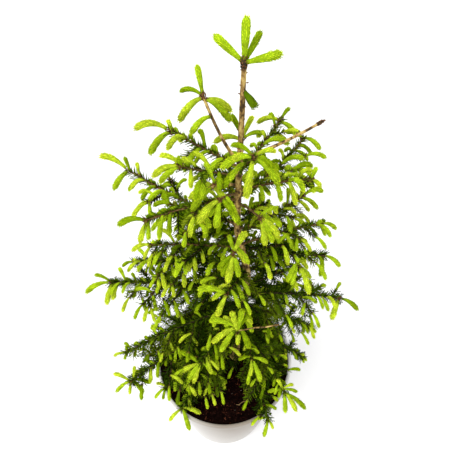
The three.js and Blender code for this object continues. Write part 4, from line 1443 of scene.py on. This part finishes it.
def make_litter():
    """Peat crumbs, red fibres, pale grit and moss on the soil."""
    tree = scatter_tree()
    crumb = crumb_template("crumb_bit")
    fibre = blade_template("fibre_bit", belly=0.5, thickness=0.7)
    dark = finish_material(
        "peat_crumb_skin",
        [(0.35, (0.002, 0.001, 0.001)), (0.55, (0.007, 0.0025, 0.002)), (0.7, (0.085, 0.024, 0.014))],
        roughness=0.95, grain=300, relief=0.4, relief_grain=900, specular=0)
    red = finish_material(
        "peat_fibre_skin", [(0.35, (0.02, 0.005, 0.003)), (0.65, (0.3, 0.095, 0.045))],
        roughness=0.9, grain=250, specular=0)
    pale = finish_material(
        "pale_grit_skin", [(0.3, (0.24, 0.2, 0.14)), (0.7, (0.5, 0.45, 0.36))],
        roughness=0.85, grain=250, specular=0.15)
    moss = finish_material(
        "moss_skin", [(0.3, (0.05, 0.055, 0.006)), (0.7, (0.2, 0.2, 0.025))],
        roughness=0.8, grain=120, specular=0.1)
    reach = pot_radius(SOIL_TOP) - POT_WALL - LITTER_MARGIN
    strew(
        "peat_crumbs", tree, soil_patch("crumb_bed", (0, 0), reach), crumb, dark,
        density=42000, length=3.2, width=3.8, spread=0.6, tilts=(0, 180), seed=41)
    strew(
        "peat_fibres", tree, soil_patch("fibre_bed", (0, 0), reach), fibre, red,
        density=16000, length=9, width=0.9, spread=0.5, tilts=(70, 100), seed=44)
    strew(
        "pale_grit", tree, soil_patch("grit_bed", (0, 0), reach), crumb, pale,
        density=700, length=1.6, width=1.8, spread=0.5, tilts=(0, 180), seed=47)
    for count, (centre, radius) in enumerate(MOSS_PATCHES):
        strew(
            f"moss_{count + 1}", tree, soil_patch("moss_bed", centre, radius, MOSS_RAGGED), fibre, moss,
            density=900000, length=6, width=1.2, spread=0.4, tilts=(-35, 35), seed=50 + 3 * count)
    bpy.data.objects.remove(crumb)
    bpy.data.objects.remove(fibre)


def make_straws():
    """Dry winding straws that lie on the soil."""
    runs = []
    for start_x, start_y, end_x, end_y in STRAWS:
        points = []
        for step in range(STRAW_STEPS + 1):
            share = step / STRAW_STEPS
            x = mix(start_x, end_x, share) + STRAW_SWAYS[0] * math.sin(STRAW_WAVES[0] * share + start_x)
            y = mix(start_y, end_y, share) + STRAW_SWAYS[1] * math.sin(STRAW_WAVES[1] * share + start_y)
            lift = STRAW_LIFT + STRAW_ARCH * math.sin(math.pi * share)
            points.append(Vector((x, y, soil_height(x, y) + lift)))
        runs.append(even_run(points, STRAW_RADIUS))
    straw = finish_material(
        "straw_skin", [(0.3, (0.14, 0.075, 0.03)), (0.7, (0.42, 0.28, 0.12))],
        roughness=0.8, grain=150, specular=0.15)
    kept(joined_tubes("straws", runs, STRAW_SIDES), "soil", material=straw)


# Stage, light and camera

def make_stage():
    mesh = bpy.data.meshes.new("floor")
    corners = [(x * FLOOR_HALF, y * FLOOR_HALF, 0) for x, y in ((-1, -1), (1, -1), (1, 1), (-1, 1))]
    mesh.from_pydata(corners, [], [(0, 1, 2, 3)])
    floor = link("floor", mesh)
    pale = bpy.data.materials.new("pale_floor")
    pale.use_nodes = True
    shader = pale.node_tree.nodes["Principled BSDF"]
    shader.inputs["Base Color"].default_value = (FLOOR_GREY, FLOOR_GREY, FLOOR_GREY, 1)
    shader.inputs["Roughness"].default_value = 0.9
    floor.data.materials.append(pale)
    world = bpy.data.worlds.new("studio")
    world.use_nodes = True
    sky = world.node_tree.nodes["Background"]
    sky.inputs["Color"].default_value = (1, 1, 1, 1)
    sky.inputs["Strength"].default_value = SKY_STRENGTH
    bpy.context.scene.world = world
    light = bpy.data.lights.new("key_light", "SUN")
    light.energy = KEY_STRENGTH
    light.angle = math.radians(KEY_SOFTNESS)
    lamp = link("key_light", light)
    lamp.rotation_euler = (-Vector(KEY_FROM)).to_track_quat("-Z", "Y").to_euler()


def make_camera():
    camera = bpy.data.cameras.new("camera")
    camera.sensor_width = SENSOR
    camera.lens = SENSOR * FOCAL_SHARE
    holder = link("camera", camera)
    holder.location = Vector(EYE) * MM
    holder.rotation_euler = (math.radians(90 - PITCH), 0, 0)
    bpy.context.scene.camera = holder
    bpy.context.scene.view_settings.view_transform = "Standard"


make_camera()
make_stage()
grow_leader()
for seed, bough in enumerate(BOUGHS, start=1):
    grow_limb(bough, seed)
grow_trunk_twigs()
grow_trunk_knots()
grow_dry_twig()
make_wood()
make_needles()
make_pot()
make_soil()
make_litter()
make_straws()
